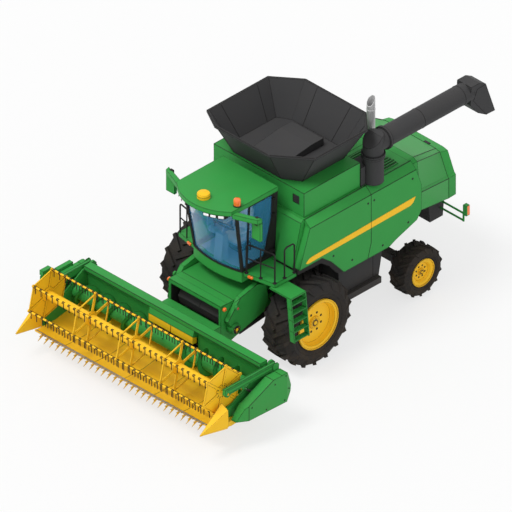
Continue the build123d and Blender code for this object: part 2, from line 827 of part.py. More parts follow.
# Roof lamps, receiver dome and beacon.
roof_top_z = glass_top_z + roof_t
dome_y = -1530
dome_r = 140
dome_h = 120
beacon_x = 720
beacon_y = -1260
beacon_r = 78
beacon_h = 170
work_lamp_x = (330, 480, 630)
work_lamp_half = 60
work_lamp_depth = 90
work_lamp_h = 80
with BuildPart() as roof_lights:
    rod((0, dome_y, roof_top_z), (0, dome_y, roof_top_z + dome_h), dome_r)
    rod((beacon_x, beacon_y, roof_top_z), (beacon_x, beacon_y, roof_top_z + beacon_h), beacon_r)
    for side in (-1, 1):
        for distance in work_lamp_x:
            x = side * distance
            y = roof_front_y - roof_bulge * (1 - (x / roof_half) ** 2) + 30
            width = (x - work_lamp_half, x + work_lamp_half)
            block(width, (y, y + work_lamp_depth), (glass_top_z - work_lamp_h, glass_top_z))
finish(roof_lights, "roof_lights")

# Mirrors on arms from the roof's front corners.
mirror_arm_z = 3870
mirror_arm_h = 110
mirror_h = 440
mirror_x = (1140, 1385)
mirror_y = (-1250, -1175)
with BuildPart() as mirrors:
    for side in (-1, 1):
        arm = [
            (side * roof_half, roof_front_y),
            (side * (mirror_x[1] - 35), mirror_y[0] - 40),
            (side * (mirror_x[1] - 5), mirror_y[1]),
            (side * roof_half, roof_front_y + 140),
        ]
        slab(level(mirror_arm_z), arm, mirror_arm_h)
        ends = sorted((side * mirror_x[0], side * mirror_x[1]))
        block(ends, mirror_y, (mirror_arm_z - mirror_h, mirror_arm_z))
finish(mirrors, "mirrors")

# Decks beside the cab.
deck_in_x = cab_low_half
deck_out = {1: deck_out_x, -1: 1300}
deck_back_y = -292
with BuildPart() as decks:
    for side in (-1, 1):
        outline = [
            (side * deck_in_x, -1075),
            (side * deck_out[side], -925 - 0.2 * (deck_out_x - deck_out[side])),
            (side * deck_out[side], deck_back_y),
            (side * deck_in_x, deck_back_y),
        ]
        slab(level(deck_z - deck_t), outline, deck_t)
finish(decks, "decks")

# Handrails: a two-bar rail across the front of each deck, a hoop beside the steps.
hoop_x = deck_out_x - 25
with BuildPart() as handrails:
    for side in (-1, 1):
        far = deck_out[side] - 25
        a = (side * 780, -1045)
        b = (side * far, -905 - 0.2 * (deck_out_x - deck_out[side]))
        bent_tube([(*a, deck_z), (*a, rail_top_z), (*b, rail_top_z), (*b, deck_z)], rail_r, 60)
        rod((*a, 2650), (*b, 2650), rail_r * 0.8)
        mid = ((a[0] + b[0]) / 2, (a[1] + b[1]) / 2)
        rod((*mid, deck_z), (*mid, rail_top_z), rail_r * 0.8)
    bent_tube([(hoop_x, -620, deck_z), (hoop_x, -620, 3020), (hoop_x, -330, 3020), (hoop_x, -330, deck_z)],
              rail_r, 80)
finish(handrails, "handrails")

# Ladder: two box stiles and treads, leaning out past the tyre.
stile_top = ((front_track + front_tyre_w) / 2, 2180)
stile_low = (stile_top[0] + 110, 1120)
stile_depth = 130
ladder_y = (-990, -540)
tread_count = 5
with BuildPart() as ladder:
    stile = [
        stile_top,
        (stile_top[0] + stile_depth, stile_top[1]),
        (stile_low[0] + stile_depth, stile_low[1]),
        stile_low,
    ]
    for y in (ladder_y[0] + 30, ladder_y[1]):
        slab(across(y), stile, 30)
    for index in range(tread_count):
        share = index / tread_count
        x = stile_low[0] + share * (stile_top[0] - stile_low[0])
        z = stile_low[1] + share * (stile_top[1] - stile_low[1]) + 20
        block((x + 5, x + stile_depth - 5), ladder_y, (z, z + 30))
    block((deck_out_x - 100, stile_top[0] + stile_depth), ladder_y, (stile_top[1] - 35, stile_top[1]))
finish(ladder, "ladder")

# Exhaust stack with a slanted outlet.
exhaust_x = 800
exhaust_y = 2600
exhaust_r = 92
exhaust_top_z = 4970
with BuildPart() as exhaust:
    rod((exhaust_x, exhaust_y, body_top_z), (exhaust_x, exhaust_y, exhaust_top_z), exhaust_r)
    bore_z = (exhaust_top_z - 670, exhaust_top_z + 10)
    rod((exhaust_x, exhaust_y, bore_z[0]), (exhaust_x, exhaust_y, bore_z[1]), exhaust_r - 8, Mode.SUBTRACT)
    cut = [
        (exhaust_y - 200, exhaust_top_z - 310),
        (exhaust_y + 200, exhaust_top_z + 130),
        (exhaust_y - 200, exhaust_top_z + 130),
    ]
    slab(side_plane(exhaust_x - 200), cut, 400, Mode.SUBTRACT)
finish(exhaust, "exhaust")

# Unloading auger: a fixed turret on the engine deck and a tube that swings about it.
turret_top_z = spout_z - spout_r - 30
with BuildPart() as turret:
    rod((spout_x, spout_turn_y, body_top_z), (spout_x, spout_turn_y, turret_top_z), spout_r)
    rod((spout_x, spout_turn_y, turret_top_z - 50), (spout_x, spout_turn_y, turret_top_z), spout_r + 35)
    block((tank_half - 330, spout_x), (body_back_y, spout_turn_y), (body_top_z, turret_top_z - 200))
finish(turret, "turret")

with BuildPart() as unload_tube:
    low = turret_top_z + fit_gap
    rod((spout_x, spout_turn_y, low), (spout_x, spout_turn_y, low + 40), spout_r + 35)
    rod((spout_x, spout_turn_y, low), (spout_x, spout_turn_y, spout_z + spout_r), spout_r)
    rod((spout_x, spout_turn_y, spout_z), (spout_x, spout_tube_end_y, spout_z), spout_r)
    elbow_cut = [
        (spout_turn_y - 300, spout_z + spout_r + 10),
        (spout_turn_y - 300, spout_z - 75),
        (spout_turn_y + 75, spout_z + spout_r + 10),
    ]
    slab(side_plane(spout_x - 300), elbow_cut, 600, Mode.SUBTRACT)
    rod((spout_x, spout_turn_y + 280, spout_z), (spout_x, spout_turn_y + 340, spout_z), spout_r + 40)
    chute = [
        (4770, 4080),
        (4990, 3800),
        (5240, 3640),
        (spout_end_y, 3630),
        (5230, 4420),
        (5050, spout_z + spout_r),
        (4800, spout_z + spout_r),
    ]
    slab(side_plane(spout_x - 210), chute, 420)
finish(unload_tube, "unload_tube")

# Rear light brackets: two tubes out from the chopper box, an upright and a lamp box.
lamp_x = 1760
lamp_tube_r = 22
lamp_y = 4450
lamp_base_z = 1600
lamp_low_z = 1420
lamp_half = 50
lamp_h = 250
with BuildPart() as rear_lights:
    for side in (-1, 1):
        upright_x = lamp_x - 80
        rod((side * chopper_half, lamp_y, lamp_base_z), (side * lamp_x, lamp_y, lamp_base_z), lamp_tube_r)
        rod((side * chopper_half, lamp_y, lamp_low_z), (side * upright_x, lamp_y, lamp_low_z), lamp_tube_r)
        rod((side * upright_x, lamp_y, lamp_low_z - 20), (side * upright_x, lamp_y, lamp_base_z), lamp_tube_r)
        ends = sorted((side * (lamp_x - lamp_half), side * (lamp_x + lamp_half)))
        block(ends, (lamp_y - lamp_half, lamp_y + lamp_half), (lamp_base_z, lamp_base_z + lamp_h))
finish(rear_lights, "rear_lights")

# Drawbar with its pin hole, under the rear of the frame.
hitch_r = 16
hitch_t = 30
hitch_y = 4020
hitch_z = rail_back_z - rail_h - hitch_t
with BuildPart() as drawbar:
    block((-60, 60), (3700, hitch_y + 60), (hitch_z, hitch_z + hitch_t))
    with Locations((0, AXLE_Y + hitch_y, hitch_z + hitch_t)):
        Hole(hitch_r)
finish(drawbar, "drawbar")

# Feeder house: open at its front, with side shields and a drive pulley.
feeder_points = [
    (feeder_front_y, 740),
    (-1500, 790),
    (-300, 1180),
    (-280, 1620),
    (-420, feeder_top_z),
    (feeder_front_y, feeder_top_z),
]
mouth = [
    (feeder_front_y - 10, 800),
    (-1200, 980),
    (-1200, feeder_top_z - 90),
    (feeder_front_y - 10, feeder_top_z - 90),
]
shield_points = [
    (-1700, 1390),
    (-1510, 1030),
    (-1310, 1000),
    (-630, 1175),
    (-500, 1400),
    (-560, 1800),
    (-820, 1950),
    (-1330, 1840),
]
shield_w = 120
pulley_r = 125
pulley_w = 70
with BuildPart() as feeder_house:
    slab(side_plane(-feeder_half), feeder_points, 2 * feeder_half)
    slab(side_plane(-feeder_half + 70), mouth, 2 * (feeder_half - 70), Mode.SUBTRACT)
    for side in (-1, 1):
        ends = sorted((side * feeder_half, side * (feeder_half + 75)))
        ring(ends[0], lift_y, lift_z, (0, lift_boss_r), ends[1] - ends[0])
        ends = sorted((side * feeder_half, side * (feeder_half + shield_w)))
        slab(side_plane(ends[0]), shield_points, shield_w)
        ends = sorted((side * feeder_half, side * (feeder_half + shield_w + pulley_w)))
        ring(ends[0], -1510, 1160, (0, pulley_r), shield_w + pulley_w)
        y, z = lift_eye
        lug = [(y - 60, 800), (y - 40, z - 40), (y + 40, z - 40), (y + 90, 800)]
        for x in (-lift_eye_w / 2 - lug_gap - 16, lift_eye_w / 2 + lug_gap):
            slab(side_plane(side * lift_x + x), lug, 16)
        reach = lift_eye_w / 2 + lug_gap + 16
        ring(side * lift_x - reach, y, z, (0, lift_pin), 2 * reach)
finish(feeder_house, "feeder_house")

# Header: trough, top beam, open adapter to the feeder house.
trough_floor = [
    (knife_y, knife_z),
    (-3700, 590),
    (-3300, 580),
    (-2950, 640),
    (-2680, 700),
    (-2500, 760),
    (back_sheet_y, 900),
]
lip_front_y = back_sheet_y - 100
beam_half = header_half + end_t
floor_under = [(y, z - sheet_t) for y, z in trough_floor[:5]]
floor_under += [(y + sheet_t, z - sheet_t) for y, z in trough_floor[5:]]
with BuildPart() as floor:
    slab(side_plane(-header_half), trough_floor + list(reversed(floor_under)), 2 * header_half)
finish(floor, "header_floor")

with BuildPart() as trough:
    back_sheet = [
        trough_floor[-1],
        (back_sheet_y, header_top_z - lip_h),
        (back_sheet_y + sheet_t, header_top_z - lip_h),
        floor_under[-1],
    ]
    slab(side_plane(-header_half), back_sheet, 2 * header_half)
    block((-header_half, header_half), (lip_front_y, lip_front_y + lip_depth), (header_top_z - lip_h, header_top_z))
    block((-header_half, header_half), (back_sheet_y + sheet_t, back_sheet_y + 120), (600, 740))
    for side in (-1, 1):
        ends = sorted((side * feeder_half, side * (feeder_half - 70)))
        block(ends, (back_sheet_y + sheet_t, feeder_front_y - fit_gap), (740, 1210))
    block((-feeder_half, feeder_half), (back_sheet_y + sheet_t, feeder_front_y - fit_gap), (1210, 1280))
    hood = [
        (back_sheet_y, header_top_z - lip_h),
        (lip_front_y, header_top_z - lip_h),
        (-2500, 1290),
        (-2380, 1240),
        (back_sheet_y, 1240),
    ]
    slab(side_plane(-660), hood, 1320)
    block((-660, 660), (back_sheet_y - 20, back_sheet_y + sheet_t + 10), (870, 1200), Mode.SUBTRACT)
finish(trough, "header_trough")

# Header ends: end sheet, faceted drive shield outboard of the reel arm, arm brackets.
end_points = [
    (-2060, 640),
    (-2060, 1380),
    (-2240, 1430),
    (-2460, 1430),
    (-3300, 960),
    (-3645, 900),
    (-3645, 560),
    (-2300, 560),
]
shield_profile = [
    (-2490, 1330),
    (-2060, 1320),
    (-1920, 940),
    (-1940, 790),
    (-2090, 610),
    (-3210, 650),
    (-3500, 700),
    (-3300, 970),
]
bridge_points = [(-2080, 660), (-2080, 900), (-3180, 900), (-3180, 680)]
lug_points = [(-2240, 1300), (-2270, 1440), (-2220, 1500), (-2130, 1500), (-2080, 1440), (-2090, 1300)]
lug_t = 14
arm_clear = 6
with BuildPart() as header_ends:
    for side in (-1, 1):
        ends = sorted((side * header_half, side * beam_half))
        slab(side_plane(ends[0]), end_points, end_t)
        ends = sorted((side * beam_half, side * shield_in_x))
        slab(side_plane(ends[0]), bridge_points, shield_in_x - beam_half)
        ends = sorted((side * shield_in_x, side * shield_out_x))
        slab(side_plane(ends[0]), shield_profile, shield_out_x - shield_in_x)
        nose = [
            (side * (shield_out_x + 1), -3210),
            (side * (shield_out_x + 1), -3600),
            (side * (shield_in_x + 110), -3600),
        ]
        slab(level(500), nose, 1000, Mode.SUBTRACT)
        rear_edge = [
            (side * (shield_out_x + 1), -2090),
            (side * (shield_out_x + 1), -1900),
            (side * (shield_out_x - 60), -1900),
        ]
        slab(level(500), rear_edge, 1000, Mode.SUBTRACT)
        ends = sorted((side * header_half, side * (arm_x - arm_w / 2 - arm_clear)))
        slab(side_plane(ends[0]), lug_points, abs(ends[1] - ends[0]))
        ends = sorted((side * (arm_x + arm_w / 2 + arm_clear), side * (arm_x + arm_w / 2 + arm_clear + lug_t)))
        slab(side_plane(ends[0]), lug_points, lug_t)
        half = arm_w / 2 + arm_clear - fit_gap
        ring(side * arm_x - half, arm_pivot_y, arm_pivot_z, (0, pin_r), 2 * half)
        ends = sorted((side * (arm_x + arm_w / 2 + arm_clear), side * shield_out_x))
        block(ends, (-2230, -2090), (1290, 1330))
        ring(-beam_half if side < 0 else header_half, screw_y, screw_z, (0, screw_shaft_r + fit_gap), end_t,
             Mode.SUBTRACT)
        ends = sorted((side * (beam_half + fit_gap), side * (shield_in_x - fit_gap)))
        ring(ends[0], *reel_base, (0, reel_pin), ends[1] - ends[0])
finish(header_ends, "header_ends")

# Cutterbar with its guards, crop dividers, and the two covers over the feed opening.
divider_base = [(22, 560), (210, 560), (262, 640), (240, 1040), (50, 1140)]
divider_tip = [(100, 650), (108, 650), (122, 655), (122, 670), (100, 670)]
skid_points = [(-3640, 600), (-3640, 680), (-3500, 690), (-3250, 640), (-3250, 570), (-3500, 550)]
divider_back_y = -3645
with BuildPart() as cutterbar:
    block((-header_half, header_half), (knife_y - 40, knife_y), (knife_z - 30, knife_z + 8))
    for index in range(guard_count):
        x = (index - (guard_count - 1) / 2) * guard_pitch
        point = [(knife_y - 40, knife_z - 28), (knife_y - 40, knife_z + 6), (guard_tip_y, knife_z + 2)]
        slab(side_plane(x - 17), point, 34)
    for side in (-1, 1):
        with BuildSketch(across(divider_back_y)) as root_face:
            with BuildLine():
                Polyline(*[(side * (header_half + x), z) for x, z in divider_base], close=True)
            make_face()
        with BuildSketch(across(divider_tip_y)) as tip_face:
            with BuildLine():
                Polyline(*[(side * (header_half + x), z) for x, z in divider_tip], close=True)
            make_face()
        loft([root_face.sketch, tip_face.sketch], ruled=True)
        ends = sorted((side * (header_half + end_t + fit_gap), side * (shield_in_x - fit_gap)))
        slab(side_plane(ends[0]), skid_points, ends[1] - ends[0])
finish(cutterbar, "cutterbar")

with BuildPart() as feed_covers:
    for x in (-650, 10):
        cover = [(-2380, 1100), (-2380, 1240), (-2500, 1290), (-2500, 1110)]
        slab(side_plane(x), cover, 640)
finish(feed_covers, "feed_covers")

# Cross auger: drum, two flights of opposite hand, and fingers at the feed opening.
flight_t = 12
flight_start = 668
flight_turns = (header_half - flight_start - 92) / screw_pitch
finger_rows = 10
finger_reach = 35
flight_gap = 0.3


def auger_flight(side):
    """One helical flight around the drum, wound towards the feed opening."""
    mean_r = (screw_drum_r + flight_gap + screw_r) / 2
    start = Vector(side * flight_start, AXLE_Y + screw_y, screw_z)
    with BuildLine() as path:
        Helix(pitch=screw_pitch, height=flight_turns * screw_pitch, radius=mean_r, center=start,
              direction=(side, 0, 0), lefthand=side < 0)
    edge = path.line @ 0
    outwards = (edge - start).normalized()
    with BuildSketch(Plane(origin=edge, x_dir=outwards, z_dir=path.line % 0)) as strip:
        Rectangle(screw_r - screw_drum_r - flight_gap, flight_t)
    sweep(strip.sketch, path=path.line, is_frenet=True)


with BuildPart() as cross_auger:
    ring(-header_half + 12, screw_y, screw_z, (0, screw_drum_r), 2 * header_half - 24)
    ring(-beam_half + 5, screw_y, screw_z, (0, screw_shaft_r), 2 * beam_half - 10)
    for index in range(finger_rows):
        x = (index - (finger_rows - 1) / 2) * 2 * (flight_start - 60) / finger_rows
        angle = radians(100 * index)
        reach = screw_drum_r + finger_reach
        rod((x, screw_y, screw_z), (x, screw_y + reach * cos(angle), screw_z + reach * sin(angle)), 8)
    for side in (-1, 1):
        auger_flight(side)
finish(cross_auger, "cross_auger")

# Reel arms, one beam each side with a bearing for the reel shaft.
drive_boxes = [
    # ends in y, low and high edge from the arm's top
    ((-3410, -3160), 100, 220),
    ((-2970, -2530), -50, 60),
]
with BuildPart() as reel_arms:
    for side in (-1, 1):
        beam = [
            (arm_front_y, arm_top_z - arm_h),
            (arm_pivot_y + 45, arm_top_z - arm_h),
            (arm_pivot_y + 45, arm_top_z),
            (arm_front_y, arm_top_z),
        ]
        low = side * arm_x - arm_w / 2
        slab(side_plane(low), beam, arm_w)
        hanger = [
            (reel_y - 75, arm_top_z - 20),
            (reel_y - 60, reel_z - 55),
            (reel_y + 60, reel_z - 55),
            (reel_y + 120, arm_top_z - 20),
        ]
        slab(side_plane(low + 15), hanger, arm_w - 30)
        ring(low + 5, reel_y, reel_z, (0, 75), arm_w - 10)
        ring(low, reel_y, reel_z, (0, reel_shaft_r + fit_gap), arm_w, Mode.SUBTRACT)
        ring(low, arm_pivot_y, arm_pivot_z, (0, pin_r + fit_gap), arm_w, Mode.SUBTRACT)
    for side in (-1, 1):
        y, z = reel_eye
        lug = [(y - 60, arm_top_z - arm_h + 10), (y - 25, z - 25), (y + 25, z - 25), (y + 60, arm_top_z - arm_h + 10)]
        for x in (-reel_eye_w / 2 - lug_gap - 10, reel_eye_w / 2 + lug_gap):
            slab(side_plane(side * arm_x + x), lug, 10)
        reach = reel_eye_w / 2 + lug_gap + 10
        ring(side * arm_x - reach, y, z, (0, reel_pin), 2 * reach)
    drive_in_x = -arm_x - 130
    for ends, low, high in drive_boxes:
        block((drive_in_x - 110, drive_in_x), ends, (arm_top_z + low, arm_top_z + high))
        block((drive_in_x, -arm_x), (ends[0] + 40, ends[1] - 40), (arm_top_z - 50, arm_top_z - 1))
    block((drive_in_x - 70, drive_in_x), (-3440, -3170), (arm_top_z - 30, arm_top_z + 100))
    block((drive_in_x, -arm_x), (-3380, -3200), (arm_top_z - 1, arm_top_z + 100))
finish(reel_arms, "reel_arms")


# Reel: tube, spiders with a bearing for each bat, plated ends.
def bat_place(index):
    """Centre of one bat in the reel's side view."""
    angle = radians(reel_phase + 360 / bat_count * index)
    return reel_y + reel_r * cos(angle), reel_z + reel_r * sin(angle)


def reel_window(x, corner_a, corner_b):
    """Window between two spokes and the rim bar of a spider."""
    hole = []
    for share, corner in ((hub_share, corner_a), (hub_share, corner_b), (1.0, corner_b), (1.0, corner_a)):
        hole.append((reel_y + share * (corner[0] - reel_y), reel_z + share * (corner[1] - reel_z)))
    with BuildSketch(side_plane(x)) as window:
        with BuildLine():
            Polyline(*hole, close=True)
        make_face()
        offset(amount=-spider_bar, kind=Kind.INTERSECTION, mode=Mode.REPLACE)
    return window.sketch


spider_t = 30
spider_bar = 26
end_plate_t = 6
hub_share = 0.24
reel_hub_r = 165
bay = (2 * reel_half - spider_t) / reel_bays
with BuildPart() as reel:
    ring(-reel_half + 2, reel_y, reel_z, (0, reel_tube_r), 2 * reel_half - 4)
    for side in (-1, 1):
        ends = sorted((side * (reel_half + fit_gap), side * (arm_x + arm_w / 2)))
        ring(ends[0], reel_y, reel_z, (0, reel_shaft_r), ends[1] - ends[0])
    corners = [bat_place(k) for k in range(bat_count)]
    for index in range(reel_bays + 1):
        x = -reel_half + spider_t / 2 + bay * index
        slab(side_plane(x - spider_t / 2), corners, spider_t)
        for k in range(bat_count):
            sides = (corners[k], corners[(k + 1) % bat_count])
            if index in (0, reel_bays):
                recess = (spider_t - end_plate_t) / 2
                extrude(reel_window(x - spider_t / 2, *sides), amount=recess, mode=Mode.SUBTRACT)
                extrude(reel_window(x + end_plate_t / 2, *sides), amount=recess, mode=Mode.SUBTRACT)
            else:
                extrude(reel_window(x - spider_t / 2, *sides), amount=spider_t, mode=Mode.SUBTRACT)
        ring(x - spider_t / 2, reel_y, reel_z, (0, reel_hub_r), spider_t)
        for y, z in corners:
            ring(x - spider_t / 2, y, z, (0, bat_r + 14), spider_t)
            ring(x - spider_t / 2, y, z, (0, bat_r + fit_gap), spider_t, Mode.SUBTRACT)
finish(reel, "reel")

# Bats: each is a tube with a row of tines in every bay, and turns in the spiders.
tine_t = 9
tine_margin = 60
for number in range(bat_count):
    y, z = bat_place(number)
    with BuildPart() as bat:
        ring(-reel_half, y, z, (0, bat_r), 2 * reel_half)
        for index in range(reel_bays):
            start = -reel_half + spider_t / 2 + bay * index + tine_margin
            count = int((bay - 2 * tine_margin) / tine_pitch) + 1
            for k in range(count):
                x = start + k * tine_pitch
                block((x, x + tine_t), (y - tine_t / 2, y + tine_t / 2), (z - tine_len, z - bat_r + 4))
    finish(bat, f"bat_{number + 1}")


# Hydraulic cylinders: a barrel with a blind bore, and a rod that slides in it.
def build_barrel(x, base, eye, length, radius, rod_r, pin):
    """Barrel from its base pin towards the rod's eye."""
    span = hypot(eye[0] - base[0], eye[1] - base[1])
    way = ((eye[0] - base[0]) / span, (eye[1] - base[1]) / span)
    near = (x, base[0] + 1.2 * pin * way[0], base[1] + 1.2 * pin * way[1])
    far = (x, base[0] + length * way[0], base[1] + length * way[1])
    rod(near, far, radius)
    ring(x - 0.9 * radius, base[0], base[1], (0, 1.9 * pin), 1.8 * radius)
    floor = (x, base[0] + 0.16 * length * way[0], base[1] + 0.16 * length * way[1])
    mouth = (x, base[0] + 1.01 * length * way[0], base[1] + 1.01 * length * way[1])
    rod(floor, mouth, rod_r + fit_gap, Mode.SUBTRACT)
    ring(x - radius, base[0], base[1], (0, pin + fit_gap), 2 * radius, Mode.SUBTRACT)


def build_rod(x, base, eye, length, rod_r, pin, slack, width):
    """Rod reaching back into the barrel, with a wide eye in which the pin may drift."""
    span = hypot(eye[0] - base[0], eye[1] - base[1])
    way = ((eye[0] - base[0]) / span, (eye[1] - base[1]) / span)
    inner = (x, eye[0] - length * way[0], eye[1] - length * way[1])
    rod(inner, (x, eye[0], eye[1]), rod_r)
    ring(x - width / 2, eye[0], eye[1], (0, 1.6 * (pin + slack)), width)
    ring(x - width, eye[0], eye[1], (0, pin + slack), 2 * width, Mode.SUBTRACT)


with BuildPart() as lift_barrels:
    for side in (-1, 1):
        build_barrel(side * lift_x, lift_base, lift_eye, 860, 50, 30, lift_pin)
finish(lift_barrels, "lift_barrels")
with BuildPart() as lift_rods:
    for side in (-1, 1):
        build_rod(side * lift_x, lift_base, lift_eye, 760, 30, lift_pin, lift_slack, lift_eye_w)
finish(lift_rods, "lift_rods")

with BuildPart() as reel_barrels:
    for side in (-1, 1):
        build_barrel(side * arm_x, reel_base, reel_eye, 330, 26, 14, reel_pin)
finish(reel_barrels, "reel_barrels")
with BuildPart() as reel_rods:
    for side in (-1, 1):
        build_rod(side * arm_x, reel_base, reel_eye, 410, 14, reel_pin, reel_slack, reel_eye_w)
finish(reel_rods, "reel_rods")
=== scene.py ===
import math

import bmesh
import bpy
import numpy as np
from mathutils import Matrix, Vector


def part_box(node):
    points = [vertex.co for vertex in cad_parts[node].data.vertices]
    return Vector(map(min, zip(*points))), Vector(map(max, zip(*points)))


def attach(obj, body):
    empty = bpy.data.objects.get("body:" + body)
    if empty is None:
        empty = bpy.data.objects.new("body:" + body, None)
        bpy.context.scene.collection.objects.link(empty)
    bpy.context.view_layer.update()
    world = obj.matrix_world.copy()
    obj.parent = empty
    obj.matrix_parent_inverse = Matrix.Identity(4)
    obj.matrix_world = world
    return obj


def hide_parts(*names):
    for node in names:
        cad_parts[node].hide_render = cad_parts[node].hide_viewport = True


# Metres throughout. X runs across the machine with its left side at +X, the header looks
# towards -Y, +Z is up and the ground is Z = 0. AXLE is where the front axle lies along Y.
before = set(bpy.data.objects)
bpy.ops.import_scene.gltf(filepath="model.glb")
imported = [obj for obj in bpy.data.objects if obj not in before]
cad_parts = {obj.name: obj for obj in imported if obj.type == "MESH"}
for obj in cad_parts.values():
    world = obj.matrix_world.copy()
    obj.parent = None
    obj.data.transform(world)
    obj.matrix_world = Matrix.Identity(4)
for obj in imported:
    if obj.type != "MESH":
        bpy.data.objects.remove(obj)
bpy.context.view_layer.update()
AXLE = (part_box("front_left_tyre")[0][1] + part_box("front_left_tyre")[1][1]) / 2


# Colours, as sRGB numbers of 0 to 255.
def linear(red, green, blue):
    """Turns an sRGB colour of 0 to 255 into linear light."""
    c = np.array([red, green, blue]) / 255
    return tuple(np.where(c <= 0.04045, c / 12.92, ((c + 0.055) / 1.055) ** 2.4)) + (1.0,)


BODY_GREEN = linear(52, 150, 68)
BRIGHT_YELLOW = linear(250, 196, 38)
HOPPER_GREY = linear(62, 62, 63)
TRIM_BLACK = linear(38, 37, 37)
RUBBER_BLACK = linear(44, 43, 43)
GLASS_BLUE = linear(70, 160, 215)
BEACON_ORANGE = linear(255, 120, 40)
LAMP_WHITE = linear(245, 246, 248)
STACK_GREY = linear(205, 205, 205)
SEAT_GREY = linear(208, 224, 236)
CONSOLE_BLUE = linear(128, 166, 205)
LENS_RED = linear(190, 36, 30)
SOIL = linear(120, 98, 70)


# Shader groups and the small helpers that build them.
def group(name, inputs, outputs):
    """An empty shader group whose sockets are all plain numbers."""
    tree = bpy.data.node_groups.new(name, "ShaderNodeTree")
    for label, value in inputs.items():
        socket = tree.interface.new_socket(label, in_out="INPUT", socket_type="NodeSocketFloat")
        socket.default_value = value
    for label in outputs:
        tree.interface.new_socket(label, in_out="OUTPUT", socket_type="NodeSocketFloat")
    return tree, tree.nodes.new("NodeGroupInput").outputs, tree.nodes.new("NodeGroupOutput")


def wire(tree, made, **sockets):
    """Sets or links inputs, each by its name with _ for a space, or by in0, in1 for its place."""
    for label, value in sockets.items():
        by_place = label.startswith("in") and label[2:].isdigit()
        socket = made.inputs[int(label[2:]) if by_place else label.replace("_", " ")]
        if isinstance(value, bpy.types.NodeSocket):
            tree.links.new(value, socket)
        else:
            socket.default_value = value
    return made


def node(tree, kind, **sockets):
    """Adds a node and fills its sockets: a value, or another node's output to link."""
    return wire(tree, tree.nodes.new(kind), **sockets)


def maths(tree, operation, a, b=0.0, clamp=False):
    """One maths node's output."""
    made = node(tree, "ShaderNodeMath", in0=a, in1=b)
    made.operation = operation
    made.use_clamp = clamp
    return made.outputs[0]


def ramp(tree, value, low, high):
    """Maps a value between two limits onto 0 to 1."""
    return node(tree, "ShaderNodeMapRange", Value=value, From_Min=low, From_Max=high).outputs["Result"]


def mixed(tree, factor, a, b):
    """Mixes two colours."""
    made = tree.nodes.new("ShaderNodeMix")
    made.data_type = "RGBA"
    return wire(tree, made, in0=factor, in6=a, in7=b).outputs[2]


def coordinates(tree):
    """Object coordinates, which are the machine's own frame."""
    return tree.nodes.new("ShaderNodeTexCoord").outputs["Object"]


def face_normal(tree):
    """The surface's own normal."""
    return tree.nodes.new("ShaderNodeNewGeometry").outputs["Normal"]


def noise(tree, scale, detail):
    """Noise over the machine's frame."""
    made = node(tree, "ShaderNodeTexNoise", Vector=coordinates(tree), Scale=scale, Detail=detail, Roughness=0.55)
    return made.outputs["Fac"]


def make_field_dust():
    """Dust: more on low and upward faces, broken up by two sizes of noise."""
    tree, given, outputs = group("field_dust", {"Amount": 0.3, "Height": 1.5}, ["Mask"])
    place = node(tree, "ShaderNodeSeparateXYZ", Vector=coordinates(tree))
    low = maths(tree, "DIVIDE", place.outputs["Z"], given["Height"])
    low = maths(tree, "SUBTRACT", 1.0, low, clamp=True)
    facing = node(tree, "ShaderNodeSeparateXYZ", Vector=face_normal(tree))
    up = maths(tree, "MULTIPLY", maths(tree, "MAXIMUM", facing.outputs["Z"], 0.0), 0.25)
    cloud = ramp(tree, noise(tree, 2.2, 4.0), 0.38, 0.72)
    speck = ramp(tree, noise(tree, 34.0, 3.0), 0.42, 0.68)
    spread = maths(tree, "ADD", maths(tree, "MULTIPLY", cloud, 0.65), maths(tree, "MULTIPLY", speck, 0.35))
    mask = maths(tree, "MULTIPLY", spread, maths(tree, "ADD", low, up))
    wire(tree, outputs, Mask=maths(tree, "MULTIPLY", mask, given["Amount"], clamp=True))
    return tree


def make_edge_shade():
    """Painted shade along edges and creases: where a rounded normal turns away from the flat one, thinned by noise.
    """
    tree, given, outputs = group("edge_shade", {"Width": 0.012, "Break Up": 0.15}, ["Mask"])
    round_off = node(tree, "ShaderNodeBevel", Radius=given["Width"])
    round_off.samples = 4
    turn = tree.nodes.new("ShaderNodeVectorMath")
    turn.operation = "DOT_PRODUCT"
    wire(tree, turn, in0=round_off.outputs["Normal"], in1=face_normal(tree))
    edge = ramp(tree, turn.outputs["Value"], 0.985, 0.9)
    broken = maths(tree, "MULTIPLY", ramp(tree, noise(tree, 18.0, 4.0), 0.3, 0.75), given["Break Up"])
    wire(tree, outputs, Mask=maths(tree, "MULTIPLY", edge, maths(tree, "SUBTRACT", 1.0, broken), clamp=True))
    return tree


def make_fine_grain():
    """Grain: a fine height for sprayed paint, moulded plastic or cast metal, and a slow tone."""
    tree, given, outputs = group("fine_grain", {"Scale": 200.0, "Tone Scale": 1.5}, ["Height", "Tone"])
    for label, result in (("Scale", "Height"), ("Tone Scale", "Tone")):
        grain = node(tree, "ShaderNodeTexNoise", Vector=coordinates(tree), Detail=2.0, Scale=given[label])
        tree.links.new(grain.outputs["Fac"], outputs.inputs[result])
    return tree


FIELD_DUST = make_field_dust()
EDGE_SHADE = make_edge_shade()
FINE_GRAIN = make_fine_grain()


def use(tree, shared, **values):
    """Places a shared group in a material with its own values."""
    made = tree.nodes.new("ShaderNodeGroup")
    made.node_tree = shared
    return wire(tree, made, **values)


def new_material(name):
    """A material, its node tree and its surface shader."""
    made = bpy.data.materials.new(name)
    made.use_nodes = True
    return made, made.node_tree, made.node_tree.nodes["Principled BSDF"]


def shade(colour, gain):
    """A paler or darker shade of a colour."""
    return tuple(min(1.0, c * gain) for c in colour[:3]) + (1.0,)


# How much rougher full dust and the slow tone make a surface, and how deep its grain is.
DUST_ROUGHENS, TONE_ROUGHENS, GRAIN_DEPTH, COAT_ROUGHNESS = 0.4, 0.08, 0.002, 0.15


